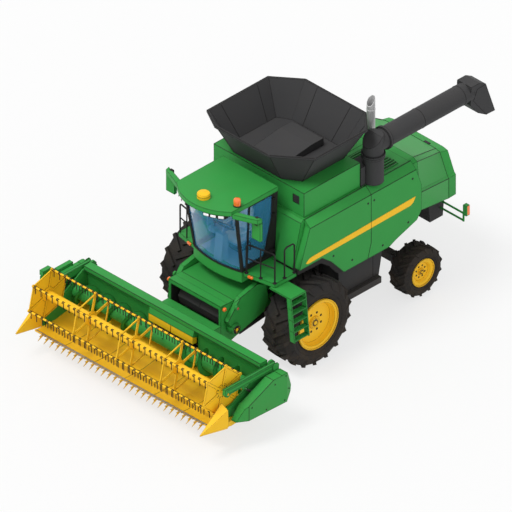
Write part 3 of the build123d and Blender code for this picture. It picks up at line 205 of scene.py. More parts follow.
def finish(name, colour, roughness, grain, bump, dust=0.0, dust_height=1.6, edge=None, edge_width=0.014,
           tone=0.06, coat=0.0, metallic=0.0, specular=0.5):
    """A surface with its own tone, fine grain, dust and, where asked, painted shade along its edges and creases."""
    made, tree, shader = new_material(name)
    surface = use(tree, FINE_GRAIN, Scale=grain).outputs
    dusty = use(tree, FIELD_DUST, Amount=dust, Height=dust_height).outputs["Mask"]
    base = mixed(tree, surface["Tone"], shade(colour, 1 - tone), shade(colour, 1 + tone))
    # Painted shade: the edge colour darkens every edge and crease.
    if edge is not None:
        base = mixed(tree, use(tree, EDGE_SHADE, Width=edge_width).outputs["Mask"], base, edge)
    rough = maths(tree, "ADD", maths(tree, "MULTIPLY", dusty, DUST_ROUGHENS), roughness, clamp=True)
    rough = maths(tree, "ADD", rough, maths(tree, "MULTIPLY", surface["Tone"], TONE_ROUGHENS), clamp=True)
    relief = node(tree, "ShaderNodeBump", Strength=bump, Distance=GRAIN_DEPTH, Height=surface["Height"])
    wire(tree, shader, Base_Color=mixed(tree, dusty, base, SOIL), Roughness=rough, Normal=relief.outputs["Normal"],
         Metallic=metallic, Coat_Weight=coat, Coat_Roughness=COAT_ROUGHNESS, Specular_IOR_Level=specular)
    return made


# Finishes: name, colour, roughness, grain and bump first. An edge colour is painted shade along edges and creases.
YELLOW_GLOSS = (BRIGHT_YELLOW, 0.42, 260, 0.03)
green_paint = finish(
    "green_paint", BODY_GREEN, 0.42, 260, 0.03, dust=0.18, edge=shade(BODY_GREEN, 0.08), edge_width=0.03, coat=0.03,
    specular=0.12
)
yellow_paint = finish(
    "yellow_paint", *YELLOW_GLOSS, dust=0.2, dust_height=1.2, edge=shade(BRIGHT_YELLOW, 0.15), edge_width=0.016,
    coat=0.03, specular=0.15
)
hopper_paint = finish(
    "hopper_paint", HOPPER_GREY, 0.55, 120, 0.08, dust=0.12, edge=shade(HOPPER_GREY, 0.1), edge_width=0.03,
    specular=0.12
)
dark_paint = finish(
    "dark_paint", linear(54, 54, 55), 0.55, 120, 0.08, dust=0.25, edge=shade(HOPPER_GREY, 0.2), specular=0.12
)
black_trim = finish("black_trim", TRIM_BLACK, 0.6, 420, 0.15, dust=0.1, tone=0.1, specular=0.15)
tyre_rubber = finish(
    "tyre_rubber", RUBBER_BLACK, 0.78, 160, 0.3, dust=0.3, dust_height=2.1, edge=shade(RUBBER_BLACK, 0.3), tone=0.12,
    specular=0.15
)
stack_steel = finish("stack_steel", STACK_GREY, 0.38, 90, 0.06, tone=0.08, metallic=0.35)
bare_steel = finish("bare_steel", linear(176, 178, 180), 0.32, 300, 0.05, dust=0.15, tone=0.08, metallic=0.9)
bright_rod = finish("bright_rod", linear(220, 222, 226), 0.12, 300, 0.01, dust=0.02, tone=0.02, metallic=1)
cast_block = finish("cast_block", linear(70, 72, 72), 0.6, 60, 0.4, dust=0.3, tone=0.12)
seat_cloth = finish("seat_cloth", SEAT_GREY, 0.9, 900, 0.35, tone=0.08, specular=0.2)
console_plastic = finish("console_plastic", CONSOLE_BLUE, 0.6, 500, 0.12, tone=0.05)
beacon_lens = finish("beacon_lens", BEACON_ORANGE, 0.2, 60, 0.05, tone=0.05, coat=0.6)
lamp_lens = finish("lamp_lens", LAMP_WHITE, 0.12, 80, 0.1, tone=0.03, coat=0.8)
tail_lens = finish("tail_lens", LENS_RED, 0.2, 80, 0.1, tone=0.05, coat=0.6)
mirror_face = finish("mirror_face", linear(215, 225, 232), 0.04, 20, 0, tone=0.03, metallic=1)


def make_tinted_glass():
    """Tinted cab glass: mostly clear, bluer where it is seen edge on, faintly smeared."""
    made, tree, shader = new_material("tinted_glass")
    smear = ramp(tree, noise(tree, 5.0, 4.0), 0.3, 0.75)
    rim = node(tree, "ShaderNodeLayerWeight", Blend=0.25).outputs["Facing"]
    tint = mixed(tree, smear, GLASS_BLUE, shade(GLASS_BLUE, 1.15))
    clear = maths(tree, "ADD", maths(tree, "MULTIPLY", rim, 0.15), 0.2, clamp=True)
    clear = maths(tree, "ADD", clear, maths(tree, "MULTIPLY", smear, 0.04), clamp=True)
    wire(tree, shader, Base_Color=tint, Alpha=clear, Roughness=0.06, Coat_Weight=0.5)
    made.surface_render_method = "BLENDED"
    return made


tinted_glass = make_tinted_glass()


# Mesh helpers. Most return vertices and faces; a Y given to one counts from the front axle.
def add_object(name, data):
    """An object that is linked into the scene."""
    made = bpy.data.objects.new(name, data)
    bpy.context.scene.collection.objects.link(made)
    return made


def put(name, shape, material, body="machine", bevel=0.0, smooth=False, stands_for=()):
    """Makes an object from a shape's arrays, rides it on a body and gives it its finish."""
    vertices, faces = shape
    mesh = bpy.data.meshes.new(name)
    mesh.from_pydata(vertices.tolist(), [], [list(map(int, f)) for f in faces])
    merged = bmesh.new()
    merged.from_mesh(mesh)
    bmesh.ops.remove_doubles(merged, verts=merged.verts, dist=1e-6)
    merged.to_mesh(mesh)
    merged.free()
    mesh.materials.append(material)
    made = add_object(name, mesh)
    if smooth:
        mesh.shade_smooth()
        mesh.set_sharp_from_angle(angle=math.radians(35))
    if bevel:
        softened = made.modifiers.new("soft_edges", "BEVEL")
        softened.width = bevel
        softened.segments = 2
        softened.limit_method = "ANGLE"
        softened.angle_limit = math.radians(30)
    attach(made, body)
    if stands_for:
        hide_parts(*stands_for)
    return made


def placed(points):
    """Points whose Y counts from the front axle, in the machine's frame."""
    return np.array(points, dtype=float) + (0, AXLE, 0)


# The machine's origin, with its Y counted from the front axle.
ORIGIN = (0, -AXLE, 0)


def around(count):
    """Even angles round a full turn, in radians."""
    return np.linspace(0, 2 * np.pi, count, endpoint=False)


def circle(centre, axis, radius, turn):
    """Points of a circle about an axis of the machine, one for each angle."""
    points = np.tile(np.array(centre, dtype=float), (len(turn), 1))
    a, b = [k for k in range(3) if k != axis]
    points[:, a] += radius * np.cos(turn)
    points[:, b] += radius * np.sin(turn)
    return points


def between(a, b, share):
    """The point at a share of the way from one to the other."""
    return a + share * (b - a)


def bend(value, power):
    """A value raised to a power with its sign kept."""
    return np.sign(value) * np.abs(value) ** power


def outward(vertices, faces):
    """Turns every face of a closed surface round if the volume inside it comes out negative."""
    volume = 0.0
    for size in {len(f) for f in faces}:
        corner = vertices[np.array([f for f in faces if len(f) == size])]
        for k in range(1, size - 1):
            volume += np.einsum("ij,ij->i", corner[:, 0], np.cross(corner[:, k], corner[:, k + 1])).sum()
    return [f[::-1] for f in faces] if volume < 0 else faces


def grid_faces(rows, columns, wrap_rows=False, wrap_columns=False):
    """Quads of a rows by columns grid of points, closed round either way if asked."""
    r = np.arange(rows if wrap_rows else rows - 1)
    c = np.arange(columns if wrap_columns else columns - 1)
    a, b = np.meshgrid(r, c, indexing="ij")
    a2, b2 = (a + 1) % rows, (b + 1) % columns
    quads = np.stack([a * columns + b, a2 * columns + b, a2 * columns + b2, a * columns + b2], -1)
    return [tuple(q) for q in quads.reshape(-1, 4)]


def prism(outline, axis, low, high):
    """A straight prism: an outline carried along one axis from low to high. The outline's
    two coordinates are the other two axes in X, Y, Z order; Y counts from the front axle."""
    flat = np.array(outline, dtype=float)
    count = len(flat)
    others = [k for k in range(3) if k != axis]
    vertices = np.zeros((2 * count, 3))
    vertices[:count, others[0]] = vertices[count:, others[0]] = flat[:, 0]
    vertices[:count, others[1]] = vertices[count:, others[1]] = flat[:, 1]
    vertices[:count, axis] = low
    vertices[count:, axis] = high
    vertices[:, 1] += AXLE
    ring = np.arange(count)
    after = (ring + 1) % count
    faces = [tuple(q) for q in np.stack([ring, after, after + count, ring + count], 1)]
    faces += [tuple(ring[::-1]), tuple(ring + count)]
    return vertices, outward(vertices, faces)


def box(x, y, z):
    """A box between pairs of limits, with Y counted from the front axle."""
    return prism([(x[0], z[0]), (x[1], z[0]), (x[1], z[1]), (x[0], z[1])], 1, y[0], y[1])


def lathe(profile, centre, axis, steps=48, hollow=False):
    """A profile of (radius, distance along the axis) turned about an axis through the centre.
    A hollow one's profile is a closed outline."""
    radius, along = np.array(profile, dtype=float).T
    turn = around(steps)
    rows = np.zeros((steps, len(radius), 3))
    a, b = [k for k in range(3) if k != axis]
    rows[..., a] = radius * np.cos(turn)[:, None]
    rows[..., b] = radius * np.sin(turn)[:, None]
    rows[..., axis] = along
    vertices = rows.reshape(-1, 3) + placed(centre)
    faces = grid_faces(steps, len(radius), wrap_rows=True, wrap_columns=hollow)
    starts = np.arange(steps) * len(radius)
    if radius[0] > 1e-6 and not hollow:
        faces.append(tuple(starts))
    if radius[-1] > 1e-6 and not hollow:
        faces.append(tuple(starts[::-1] + len(radius) - 1))
    return vertices, outward(vertices, faces)


def along_path(points, radius, steps=12, closed=False):
    """A round tube: a circle carried along a line of points, square to the line."""
    line = placed(points)
    way = np.roll(line, -1, 0) - np.roll(line, 1, 0) if closed else np.gradient(line, axis=0)
    way /= np.linalg.norm(way, axis=1)[:, None]
    guide = np.where(np.abs(way[:, 2:3]) > 0.9, (1.0, 0, 0), (0, 0, 1.0))
    side = np.cross(way, guide)
    side /= np.linalg.norm(side, axis=1)[:, None]
    rise = np.cross(side, way)
    turn = around(steps)
    ring = side[:, None] * np.cos(turn)[None, :, None] + rise[:, None] * np.sin(turn)[None, :, None]
    vertices = (line[:, None] + radius * ring).reshape(-1, 3)
    faces = grid_faces(len(line), steps, wrap_rows=closed, wrap_columns=True)
    if not closed:
        faces.append(tuple(np.arange(steps)))
        faces.append(tuple(np.arange(steps)[::-1] + (len(line) - 1) * steps))
    return vertices, outward(vertices, faces)


def joined(*shapes):
    """Several shapes' arrays as one."""
    vertices, faces, start = [], [], 0
    for shape_vertices, shape_faces in shapes:
        vertices.append(shape_vertices)
        faces += [tuple(int(i) + start for i in f) for f in shape_faces]
        start += len(shape_vertices)
    return np.concatenate(vertices), faces


def repeated(shape, places):
    """One shape's arrays copied to a list of places, in one go."""
    vertices, faces = shape
    places = np.array(places, dtype=float)
    every = (vertices[None] + places[:, None]).reshape(-1, 3)
    step = len(vertices)
    return every, [tuple(int(i) + k * step for i in f) for k in range(len(places)) for f in faces]


def mirrored(shape):
    """The same shape on the machine's other side."""
    vertices, faces = shape
    return vertices * np.array([-1.0, 1.0, 1.0]), [f[::-1] for f in faces]


def both(shape):
    """A shape with its mirror image."""
    return joined(shape, mirrored(shape))


def bolt(axis, size):
    """A hexagon bolt's head and washer, standing on the origin along +axis."""
    profile = size * np.array([(0, 0), (1.7, 0), (1.7, 0.3), (1, 0.3), (1, 1.1), (0, 1.25)])
    return lathe(profile, ORIGIN, axis, steps=6)


# Finishes on the CAD nodes. Those that aren't named here are green.
CORNERS = ("front_left", "front_right", "rear_left", "rear_right")
CAD_FINISH = {
    tyre_rubber: [f"{corner}_tyre" for corner in CORNERS],
    yellow_paint: [f"{corner}_rim" for corner in CORNERS] + ["reel", "cutterbar", "feed_covers", "header_floor"],
    hopper_paint: ["hopper", "unload_tube", "turret"],
    dark_paint: ["lower_body", "chopper", "frame", "front_axle", "rear_axle", "left_knuckle", "right_knuckle",
                 "drawbar", "lift_barrels", "reel_barrels"],
    black_trim: ["cab_frame", "door_frame", "handrails"],
    tinted_glass: ["cab_windows", "door_glass"],
    stack_steel: ["exhaust"],
    bright_rod: ["lift_rods", "reel_rods"],
    cast_block: ["engine"],
    seat_cloth: ["seat"],
    console_plastic: ["steering"],
}


def repaint(part, material):
    """Gives a CAD node one material."""
    part.data.materials.clear()
    part.data.materials.append(material)


finish_of = {name: material for material, names in CAD_FINISH.items() for name in names}
for name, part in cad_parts.items():
    repaint(part, finish_of.get(name, green_paint))

# Reel bats: yellow bars whose tines are dark, told apart by their distance from the bar's axis.
REEL, REEL_R, BATS, FIRST_BAT = (-3.56, 1.36), 0.575, 6, 17
BAT_PLACES = circle((0, *REEL), 0, REEL_R, np.radians(FIRST_BAT + 360 / BATS * np.arange(BATS)))
BAR_EDGE = (0.03, 0.034)


def make_bar_reach():
    """One where a point lies further than the bar's edge from a line across the machine."""
    tree, given, outputs = group("bar_reach", {"Y": 0.0, "Z": 0.0}, ["Mask"])
    place = node(tree, "ShaderNodeSeparateXYZ", Vector=coordinates(tree))
    offsets = [maths(tree, "SUBTRACT", place.outputs[label], given[label]) for label in "YZ"]
    squares = [maths(tree, "MULTIPLY", offset, offset) for offset in offsets]
    away = maths(tree, "SQRT", maths(tree, "ADD", *squares))
    wire(tree, outputs, Mask=ramp(tree, away, *BAR_EDGE))
    return tree


BAR_REACH = make_bar_reach()
for number, (_, y, z) in enumerate(BAT_PLACES, 1):
    paint = finish(f"bat_paint_{number}", *YELLOW_GLOSS, dust=0.2, dust_height=1.2, specular=0.15)
    tree = paint.node_tree
    reach = use(tree, BAR_REACH, Y=AXLE + y, Z=z)
    colour = tree.nodes["Principled BSDF"].inputs["Base Color"]
    tree.links.new(mixed(tree, reach.outputs["Mask"], colour.links[0].from_socket, TRIM_BLACK), colour)
    repaint(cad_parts[f"bat_{number}"], paint)

# Shapes shared by the pieces below.
def rounded(centre, size, power=0.3, columns=28, rows=16):
    """A box with rounded edges: a superellipsoid with x = a c(v) c(u), y = b c(v) s(u),
    z = h s(v), where c and s are the cosine and sine raised to a power with their sign kept."""
    u = around(columns)
    v = np.linspace(-np.pi / 2, np.pi / 2, rows)[:, None]
    x = bend(np.cos(v), power) * bend(np.cos(u), power)
    y = bend(np.cos(v), power) * bend(np.sin(u), power)
    z = np.repeat(bend(np.sin(v), power), columns, axis=1)
    vertices = np.stack([x, y, z], -1).reshape(-1, 3) * np.array(size) / 2 + placed(centre)
    return vertices, outward(vertices, grid_faces(rows, columns, wrap_columns=True))


def turned(shape, axis, degrees, centre):
    """A shape turned about an axis of the machine through a centre."""
    vertices, faces = shape
    a, b = [k for k in range(3) if k != axis]
    middle = placed(centre)
    c, s = math.cos(math.radians(degrees)), math.sin(math.radians(degrees))
    moved = vertices - middle
    out = moved.copy()
    out[:, a] = c * moved[:, a] - s * moved[:, b]
    out[:, b] = s * moved[:, a] + c * moved[:, b]
    return out + middle, faces


def ring_band(centre, axis, inner, outer, low, high, steps=48):
    """A flat ring with a slight edge break, turned about an axis through its centre."""
    edge = min(0.004, (high - low) / 3)
    profile = [(inner, low), (outer, low), (outer, high - edge), (outer - edge, high), (inner, high)]
    return lathe(profile, centre, axis, steps, hollow=True)


def seams(name, runs, body="machine", radius=0.006, two_sides=False):
    """Joints between sheets: a fine dark line half sunk in the surface along each run of points."""
    shape = joined(*[along_path(run, radius, 6) for run in runs])
    return put(name, both(shape) if two_sides else shape, black_trim, body)


def bolts(name, axis, size, places, body="machine", side=1):
    """Hexagon bolts with their washers, facing along the axis or, with side -1, against it."""
    vertices, faces = bolt(axis, size)
    if side < 0:
        vertices, faces = vertices * np.where(np.arange(3) == axis, -1.0, 1.0), [f[::-1] for f in faces]
    return put(name, repeated((vertices, faces), placed(places)), dark_paint, body)


# Wheels: nuts around the hub on black discs painted as the shade of their holes, hub cap ring, bead ring and valve on
# each.
WHEELS = [
    # end, track, place in Y, radius, rim radius, width, nut circle, hub radius, nut size
    ("front", 3.0, 0.0, 1.0, 0.58, 0.8, 0.22, 0.142, 0.0125),
    ("rear", 2.7, 3.36, 0.575, 0.325, 0.54, 0.135, 0.08, 0.0095),
]
NUT_COUNT = 8


def wheel_trim(end, track, y, radius, rim_r, width, bolt_r, hub_r, size):
    """The small parts on the outer face of both wheels of an axle."""
    disc = track / 2 + width / 2 - 0.22 * width
    cap = disc + 0.036
    spots = placed(circle((disc, y, radius), 0, bolt_r, around(NUT_COUNT) + math.radians(22.5)))
    # A black disc under each nut: painted shade of the hole round it.
    hole_shade = lathe([(0, -0.001), (2.3 * size, -0.001), (2.3 * size, 0.0015), (0, 0.002)], ORIGIN, 0, 20)
    button = [(0, -0.002), (0.34 * hub_r, -0.002), (0.34 * hub_r, 0.012), (0.22 * hub_r, 0.018), (0, 0.019)]
    crown = joined(
        ring_band((cap, y, radius), 0, 0.62 * hub_r, 0.78 * hub_r, -0.004, 0.007),
        lathe(button, (cap, y, radius), 0, 24),
    )
    beads = joined(*[
        along_path(circle((x, y, radius), 0, bead_r, around(48)), thick, 8, closed=True)
        for x, bead_r, thick in (
            (track / 2 + 0.41 * width + 0.004, rim_r + 0.018, 0.009),
            (track / 2 + 0.455 * width, rim_r + 0.27 * (radius - rim_r), 0.008),
        )
    ])
    stem_z = radius + 0.8 * rim_r
    stem = [(disc + 0.01, y, stem_z), (disc + 0.05, y, stem_z + 0.01), (disc + 0.075, y, stem_z + 0.03)]
    # Name, shape, finish, and whether it is shaded smooth.
    rows = (
        ("nuts", repeated(bolt(0, size), spots), dark_paint, False),
        ("nut_hole_shade", repeated(hole_shade, spots), black_trim, False),
        ("hub_cap", crown, yellow_paint, True),
        ("bead_rings", beads, tyre_rubber, True),
        ("valve", along_path(stem, 0.006, 10), black_trim, True),
    )
    for side in ("left", "right"):
        for name, shape, material, smooth in rows:
            shape = shape if side == "left" else mirrored(shape)
            put(f"{end}_{side}_{name}", shape, material, f"{end}_{side}_wheel", smooth=smooth)


for row in WHEELS:
    wheel_trim(*row)

# Body sides: yellow stripe, arch trim, panel joints and catches. SIDE_X is the outer face of
# the side panels and WALL_X that of the walls above and below them.
SIDE_X, WALL_X = 1.551, 1.381
STRIPE = [
    (-0.07, 2.405), (0.0, 2.372), (3.02, 2.405), (3.1, 2.45), (3.145, 2.515), (3.165, 2.575), (0.1, 2.505),
    (0.02, 2.482), (-0.03, 2.45)
]
put("side_stripes", both(prism(STRIPE, 0, 1.549, 1.553)), yellow_paint)
ARCH = [
    (-0.3, 2.325), (-0.3, 2.225), (0.385, 2.205), (0.62, 2.025), (0.86, 1.73), (1.0, 1.69), (1.062, 1.672),
    (0.7, 2.105), (0.425, 2.325)
]
put("arch_trim", both(prism(ARCH, 0, 1.384, 1.546)), black_trim, bevel=0.006)
seams("panel_joints", [
    [(1.38, 1.86, 3.383), (1.465, 1.865, 3.308), (1.55, 1.86, 3.232), (SIDE_X, 1.86, 2.03), (SIDE_X, 1.76, 1.675)],
    [(SIDE_X, 0.06, 3.228), (SIDE_X, 3.19, 3.228)],
    [(WALL_X, 0.06, 3.381), (WALL_X, 3.19, 3.381)],
    [(WALL_X, 2.08, 1.655), (WALL_X, 2.08, 0.965)],
    [(1.435, 1.125, 0.981), (1.435, 2.215, 0.981)],
], two_sides=True)
CATCHES = [(0.75, 2.22), (1.3, 1.86), (2.2, 1.8), (2.95, 2.02), (1.77, 3.05), (1.95, 3.05), (3.08, 3.05)]
CATCH = [(0, -0.001), (0.026, -0.001), (0.026, 0.003), (0.022, 0.006), (0.008, 0.006), (0.006, 0.002), (0, 0.002)]
catches = repeated(lathe(CATCH, ORIGIN, 0, 20), placed([(1.55, y, z) for y, z in CATCHES]))
put("panel_catches", both(catches), dark_paint, smooth=True)

# Tank front: a slatted vent in its recess, and the sheets' joints round the front and top.
put("vent_back", box((1.006, 1.184), (0.104, 0.109), (3.646, 3.834)), hopper_paint)
slat = prism([(0.0995, 3.655), (0.108, 3.655), (0.108, 3.672), (0.104, 3.672)], 0, 1.008, 1.182)
put("vent_slats", repeated(slat, [(0, 0, 0.0245 * k) for k in range(7)]), dark_paint)
TANK_X, TANK_TOP = 1.331, 3.979
seams("tank_joints", [
    [(TANK_X, 0.102, 3.39), (TANK_X, 0.102, 3.978), (-TANK_X, 0.102, 3.978), (-TANK_X, 0.102, 3.39)],
    [(TANK_X, 0.1, TANK_TOP), (TANK_X, 1.74, TANK_TOP)],
    [(-TANK_X, 0.1, TANK_TOP), (-TANK_X, 1.74, TANK_TOP)],
    [(-1.37, -0.038, 3.322), (-0.87, -0.038, 3.322)],
    [(0.87, -0.038, 3.322), (1.37, -0.038, 3.322)],
], radius=0.005)

# Hopper: folds on the inside of its walls, lines on its outer corners and a rubber edge on the rim.
HOPPER = [
    # base x, base y, rim x, rim y
    (-0.78, 0.16, -0.9, -0.28),
    (0.59, 0.16, 0.66, -0.27),
    (0.98, 0.4, 1.43, 0.33),
    (0.98, 1.6, 1.43, 1.85),
    (0.76, 1.74, 0.96, 2.28),
    (-0.7, 1.74, -0.81, 2.28),
    (-0.98, 1.6, -1.43, 1.8),
    (-0.98, 0.3, -1.43, 0.02),
]
HOPPER_BASE, HOPPER_RIM, HOPPER_WALL = 3.98, 4.81, 0.03
hopper_base = np.array([(r[0], r[1], HOPPER_BASE) for r in HOPPER])
hopper_rim = np.array([(r[2], r[3], HOPPER_RIM) for r in HOPPER])


def hopper_inside(corner, share, height):
    """A point on the inside of the hopper wall after one corner, at a share of the wall's
    width and of its height."""
    after = (corner + 1) % len(HOPPER)
    low = between(hopper_base[corner], hopper_base[after], share)
    high = between(hopper_rim[corner], hopper_rim[after], share)
    inwards = np.cross([0, 0, 1.0], hopper_rim[after] - hopper_rim[corner])
    inwards /= np.linalg.norm(inwards)
    return between(low, high, height) + (HOPPER_WALL + 0.003) * inwards


# Each fold's wall, by its first corner, and its share of that wall's width.
FOLDS = [(3, 0.25), (4, 0.22), (4, 0.78), (6, 0.2), (6, 0.8), (2, 0.2), (2, 0.8), (0, 0.25), (0, 0.75)]
seams("hopper_folds", [[hopper_inside(c, f, height) for height in (0.13, 0.985)] for c, f in FOLDS])
corner_runs = [[between(base, rim, share) for share in (0.02, 0.93)] for base, rim in zip(hopper_base, hopper_rim)]
seams("hopper_corners", corner_runs, radius=0.007)
rim_line = hopper_rim + np.array([0, 0, -0.004])
rim_runs = [
    [between(start, end, share) for share in (0.01, 0.99)] for start, end in zip(rim_line, np.roll(rim_line, -1, 0))
]
put("hopper_rim_edge", joined(*[along_path(run, 0.012, 8) for run in rim_runs]), black_trim, smooth=True)

# Roof: yellow receiver dome, orange beacon and two clusters of three work lamps.
ROOF_TOP, BEACON, ROOF_NODE = 4.04, (0.72, -1.26), ("roof_lights",)
DOME = [
    (0, 0.12), (0.112, 0.12), (0.13, 0.112), (0.139, 0.096), (0.139, 0.066), (0.134, 0.062), (0.134, 0.056),
    (0.14, 0.052), (0.14, 0.0), (0, 0)
]
put("receiver_dome", lathe(DOME, (0, -1.53, ROOF_TOP), 2, 64), yellow_paint, smooth=True, stands_for=ROOF_NODE)
CAP = [
    (0, 0.17), (0.056, 0.17), (0.07, 0.163), (0.0775, 0.148), (0.0775, 0.124), (0.0745, 0.12), (0.0775, 0.116),
    (0.0775, 0.024), (0, 0.024)
]
put("beacon_lens", lathe(CAP, (*BEACON, ROOF_TOP), 2, 48), beacon_lens, smooth=True, stands_for=ROOF_NODE)
BEACON_FOOT = [(0, 0.028), (0.08, 0.028), (0.084, 0.022), (0.084, 0.0), (0, 0)]
put("beacon_base", lathe(BEACON_FOOT, (*BEACON, ROOF_TOP), 2, 40), black_trim, smooth=True, stands_for=ROOF_NODE)
ROOF_SIDE, ROOF_FRONT, ROOF_BOW = 0.815, -1.51, 0.34
ROOF_ARC = (ROOF_SIDE ** 2 + ROOF_BOW ** 2) / (2 * ROOF_BOW)


def roof_edge(x):
    """Y of the roof's bowed front edge, which is a circle's arc."""
    return ROOF_FRONT - ROOF_BOW + ROOF_ARC - np.sqrt(ROOF_ARC ** 2 - np.square(x))


shell_x = np.linspace(0.255, 0.705, 13)
front, back = (np.stack([shell_x, roof_edge(shell_x) + depth], 1) for depth in (0.012, 0.105))
put(
    "lamp_housings", both(prism(np.concatenate([front, back[::-1]]), 2, 3.842, 3.93)), black_trim, bevel=0.008,
    stands_for=ROOF_NODE
)
lenses = []
for x in (0.33, 0.48, 0.63):
    place = (x, roof_edge(x) + 0.014, 3.887)
    slope = math.degrees(math.asin(x / ROOF_ARC))
    lenses.append(turned(rounded(place, (0.122, 0.024, 0.062), 0.35, 24, 12), 2, slope, place))
put("lamp_lenses", both(joined(*lenses)), lamp_lens, smooth=True, stands_for=ROOF_NODE)

# Mirrors: silvered faces looking back, and their clamps on the arms.
MIRROR = (1.2625, -1.1725, 3.655)
put("mirror_faces", both(rounded(MIRROR, (0.205, 0.012, 0.385), 0.18, 32, 20)), mirror_face, smooth=True)
put("mirror_clamps", both(rounded((1.2625, -1.215, 3.885), (0.1, 0.09, 0.2))), black_trim, smooth=True)

# Seat: two stuffed pads on a bellows, with a pan, piping and arm pads.
SEAT_NODE = ("seat",)


def plump(name, shape, voxel, fill, cap):
    """A stuffed pad: the closed shape in an even mesh, blown up a little by cloth pressure with
    each point held near its start, then smoothed once."""
    made = put(name, shape, seat_cloth, stands_for=SEAT_NODE)
    even = made.modifiers.new("even_mesh", "REMESH")
    even.mode = "VOXEL"
    even.voxel_size = voxel
    bake(made)
    start = vertex_places(made)
    stuffing = made.modifiers.new("stuffing", "CLOTH").settings
    stuffing.use_pressure = True
    stuffing.uniform_pressure_force = 4
    stuffing.quality = 5
    stuffing.effector_weights.gravity = 0
    for step in range(1, 21):
        bpy.context.scene.frame_set(step)
    full = made.evaluated_get(bpy.context.evaluated_depsgraph_get())
    move = vertex_places(full) - start
    length = np.linalg.norm(move, axis=1)[:, None]
    move *= np.minimum(1.0, cap / np.maximum(length, 1e-9))
    made.modifiers.clear()
    made.data.vertices.foreach_set("co", (start + move).ravel())
    bpy.context.scene.frame_set(1)
    finer = made.modifiers.new("finer", "SUBSURF")
    finer.levels = finer.render_levels = 1
    bake(made)
    made.data.shade_smooth()
    return made


def bake(made):
    """Applies every modifier to an object's mesh."""
    finished = made.evaluated_get(bpy.context.evaluated_depsgraph_get())
    mesh = bpy.data.meshes.new_from_object(finished)
    made.modifiers.clear()
    made.data = mesh


def vertex_places(made):
    """An object's vertices as an array."""
    flat = np.empty(len(made.data.vertices) * 3)
    made.data.vertices.foreach_get("co", flat)
    return flat.reshape(-1, 3)


def bellows(centre, size, low, high, folds):
    """A folded skirt: a superellipse carried upwards that steps in and out at each fold."""
    turn = around(32)
    outline = np.stack([bend(np.cos(turn), 0.4) * size[0] / 2, bend(np.sin(turn), 0.4) * size[1] / 2], 1)
    heights = np.linspace(low, high, 2 * folds + 1)
    scale = np.where(np.arange(2 * folds + 1) % 2, 1.0, 0.88)
    rows = np.zeros((len(heights), len(turn), 3))
    rows[..., :2] = outline[None] * scale[:, None, None]
    rows[..., 2] = heights[:, None]
    vertices = rows.reshape(-1, 3) + placed((*centre, 0))
    faces = grid_faces(len(heights), len(turn), wrap_columns=True)
    ends = np.arange(len(turn))
    faces += [tuple(ends[::-1]), tuple(ends + (len(heights) - 1) * len(turn))]
    return vertices, outward(vertices, faces)


CUSHION, SEAT_BACK, BACK_TILT = (0, -0.545, 2.625), (0, -0.315, 3.005), 7.5
PAD = {"voxel": 0.008, "fill": 0.7, "cap": 0.012}
plump("seat_cushion", rounded(CUSHION, (0.475, 0.475, 0.125), 0.42, 48, 24), **PAD)
back = rounded(SEAT_BACK, (0.465, 0.105, 0.64), 0.4, 48, 32)
plump("seat_back", turned(back, 0, -BACK_TILT, SEAT_BACK), **PAD)
put("seat_bellows", bellows((0, -0.49), (0.36, 0.32), 2.282, 2.545, 5), black_trim, stands_for=SEAT_NODE)
put("seat_pan", rounded((0, -0.53, 2.552), (0.46, 0.46, 0.045)), console_plastic, smooth=True, stands_for=SEAT_NODE)
full_turn = around(64)
pipe_x, pipe_y = (0.2405 * bend(wave(full_turn), 0.42) for wave in (np.cos, np.sin))
piping = np.stack([pipe_x, CUSHION[1] + pipe_y, np.full(64, 2.628)], 1)
put("cushion_piping", along_path(piping, 0.005, 8, closed=True), seat_cloth, smooth=True, stands_for=SEAT_NODE)
arm_pad = joined(
    rounded((0.275, -0.5, 2.86), (0.07, 0.34, 0.055), 0.4), rounded((0.275, -0.36, 2.72), (0.03, 0.05, 0.25))
)
put("arm_pads", both(arm_pad), seat_cloth, smooth=True, stands_for=SEAT_NODE)

# Console beside the seat with its screen, and the lever on it.
console = joined(
    rounded((-0.44, -0.6, 2.7), (0.17, 0.56, 0.13), 0.25), rounded((-0.44, -0.52, 2.46), (0.15, 0.3, 0.4), 0.25),
    rounded((-0.47, -0.86, 2.96), (0.03, 0.2, 0.24), 0.2),
    along_path([(-0.46, -0.8, 2.74), (-0.47, -0.84, 2.86), (-0.47, -0.86, 2.96)], 0.012, 10),
)
put("side_console", console, console_plastic, smooth=True)
stick = joined(
    along_path([(-0.42, -0.78, 2.75), (-0.41, -0.79, 2.86)], 0.011, 10),
    rounded((-0.408, -0.79, 2.89), (0.045, 0.055, 0.1), 0.5)
)
put("drive_lever", stick, black_trim, smooth=True)

# Steering wheel: a grip round its leaning ring and a boss; and a mat on the cab's floor.
WHEEL_MIDDLE, WHEEL_UP, WHEEL_OUT = np.array([(0, -0.895, 3.008), (0, 0.5822, 0.8131), (0, 0.8131, -0.5822)])
ring = full_turn[:, None]
across, down = np.cos(ring) * (1, 0, 0), np.sin(ring) * WHEEL_OUT
grip_line = WHEEL_MIDDLE + 0.014 * WHEEL_UP + 0.186 * (across + down)
put("wheel_grip", along_path(grip_line, 0.0215, 14, closed=True), black_trim, smooth=True)
MAT = [(-0.62, -0.26), (0.62, -0.26), (0.62, -0.98), (0.35, -1.05), (-0.35, -1.05), (-0.62, -0.98)]
put("cab_mat", prism(MAT, 2, 2.2805, 2.29), console_plastic, bevel=0.003)
BOSS = (0, -0.885, 3.022)
put("wheel_boss", turned(rounded(BOSS, (0.11, 0.11, 0.05), 0.4), 0, -35.6, BOSS), console_plastic, smooth=True)

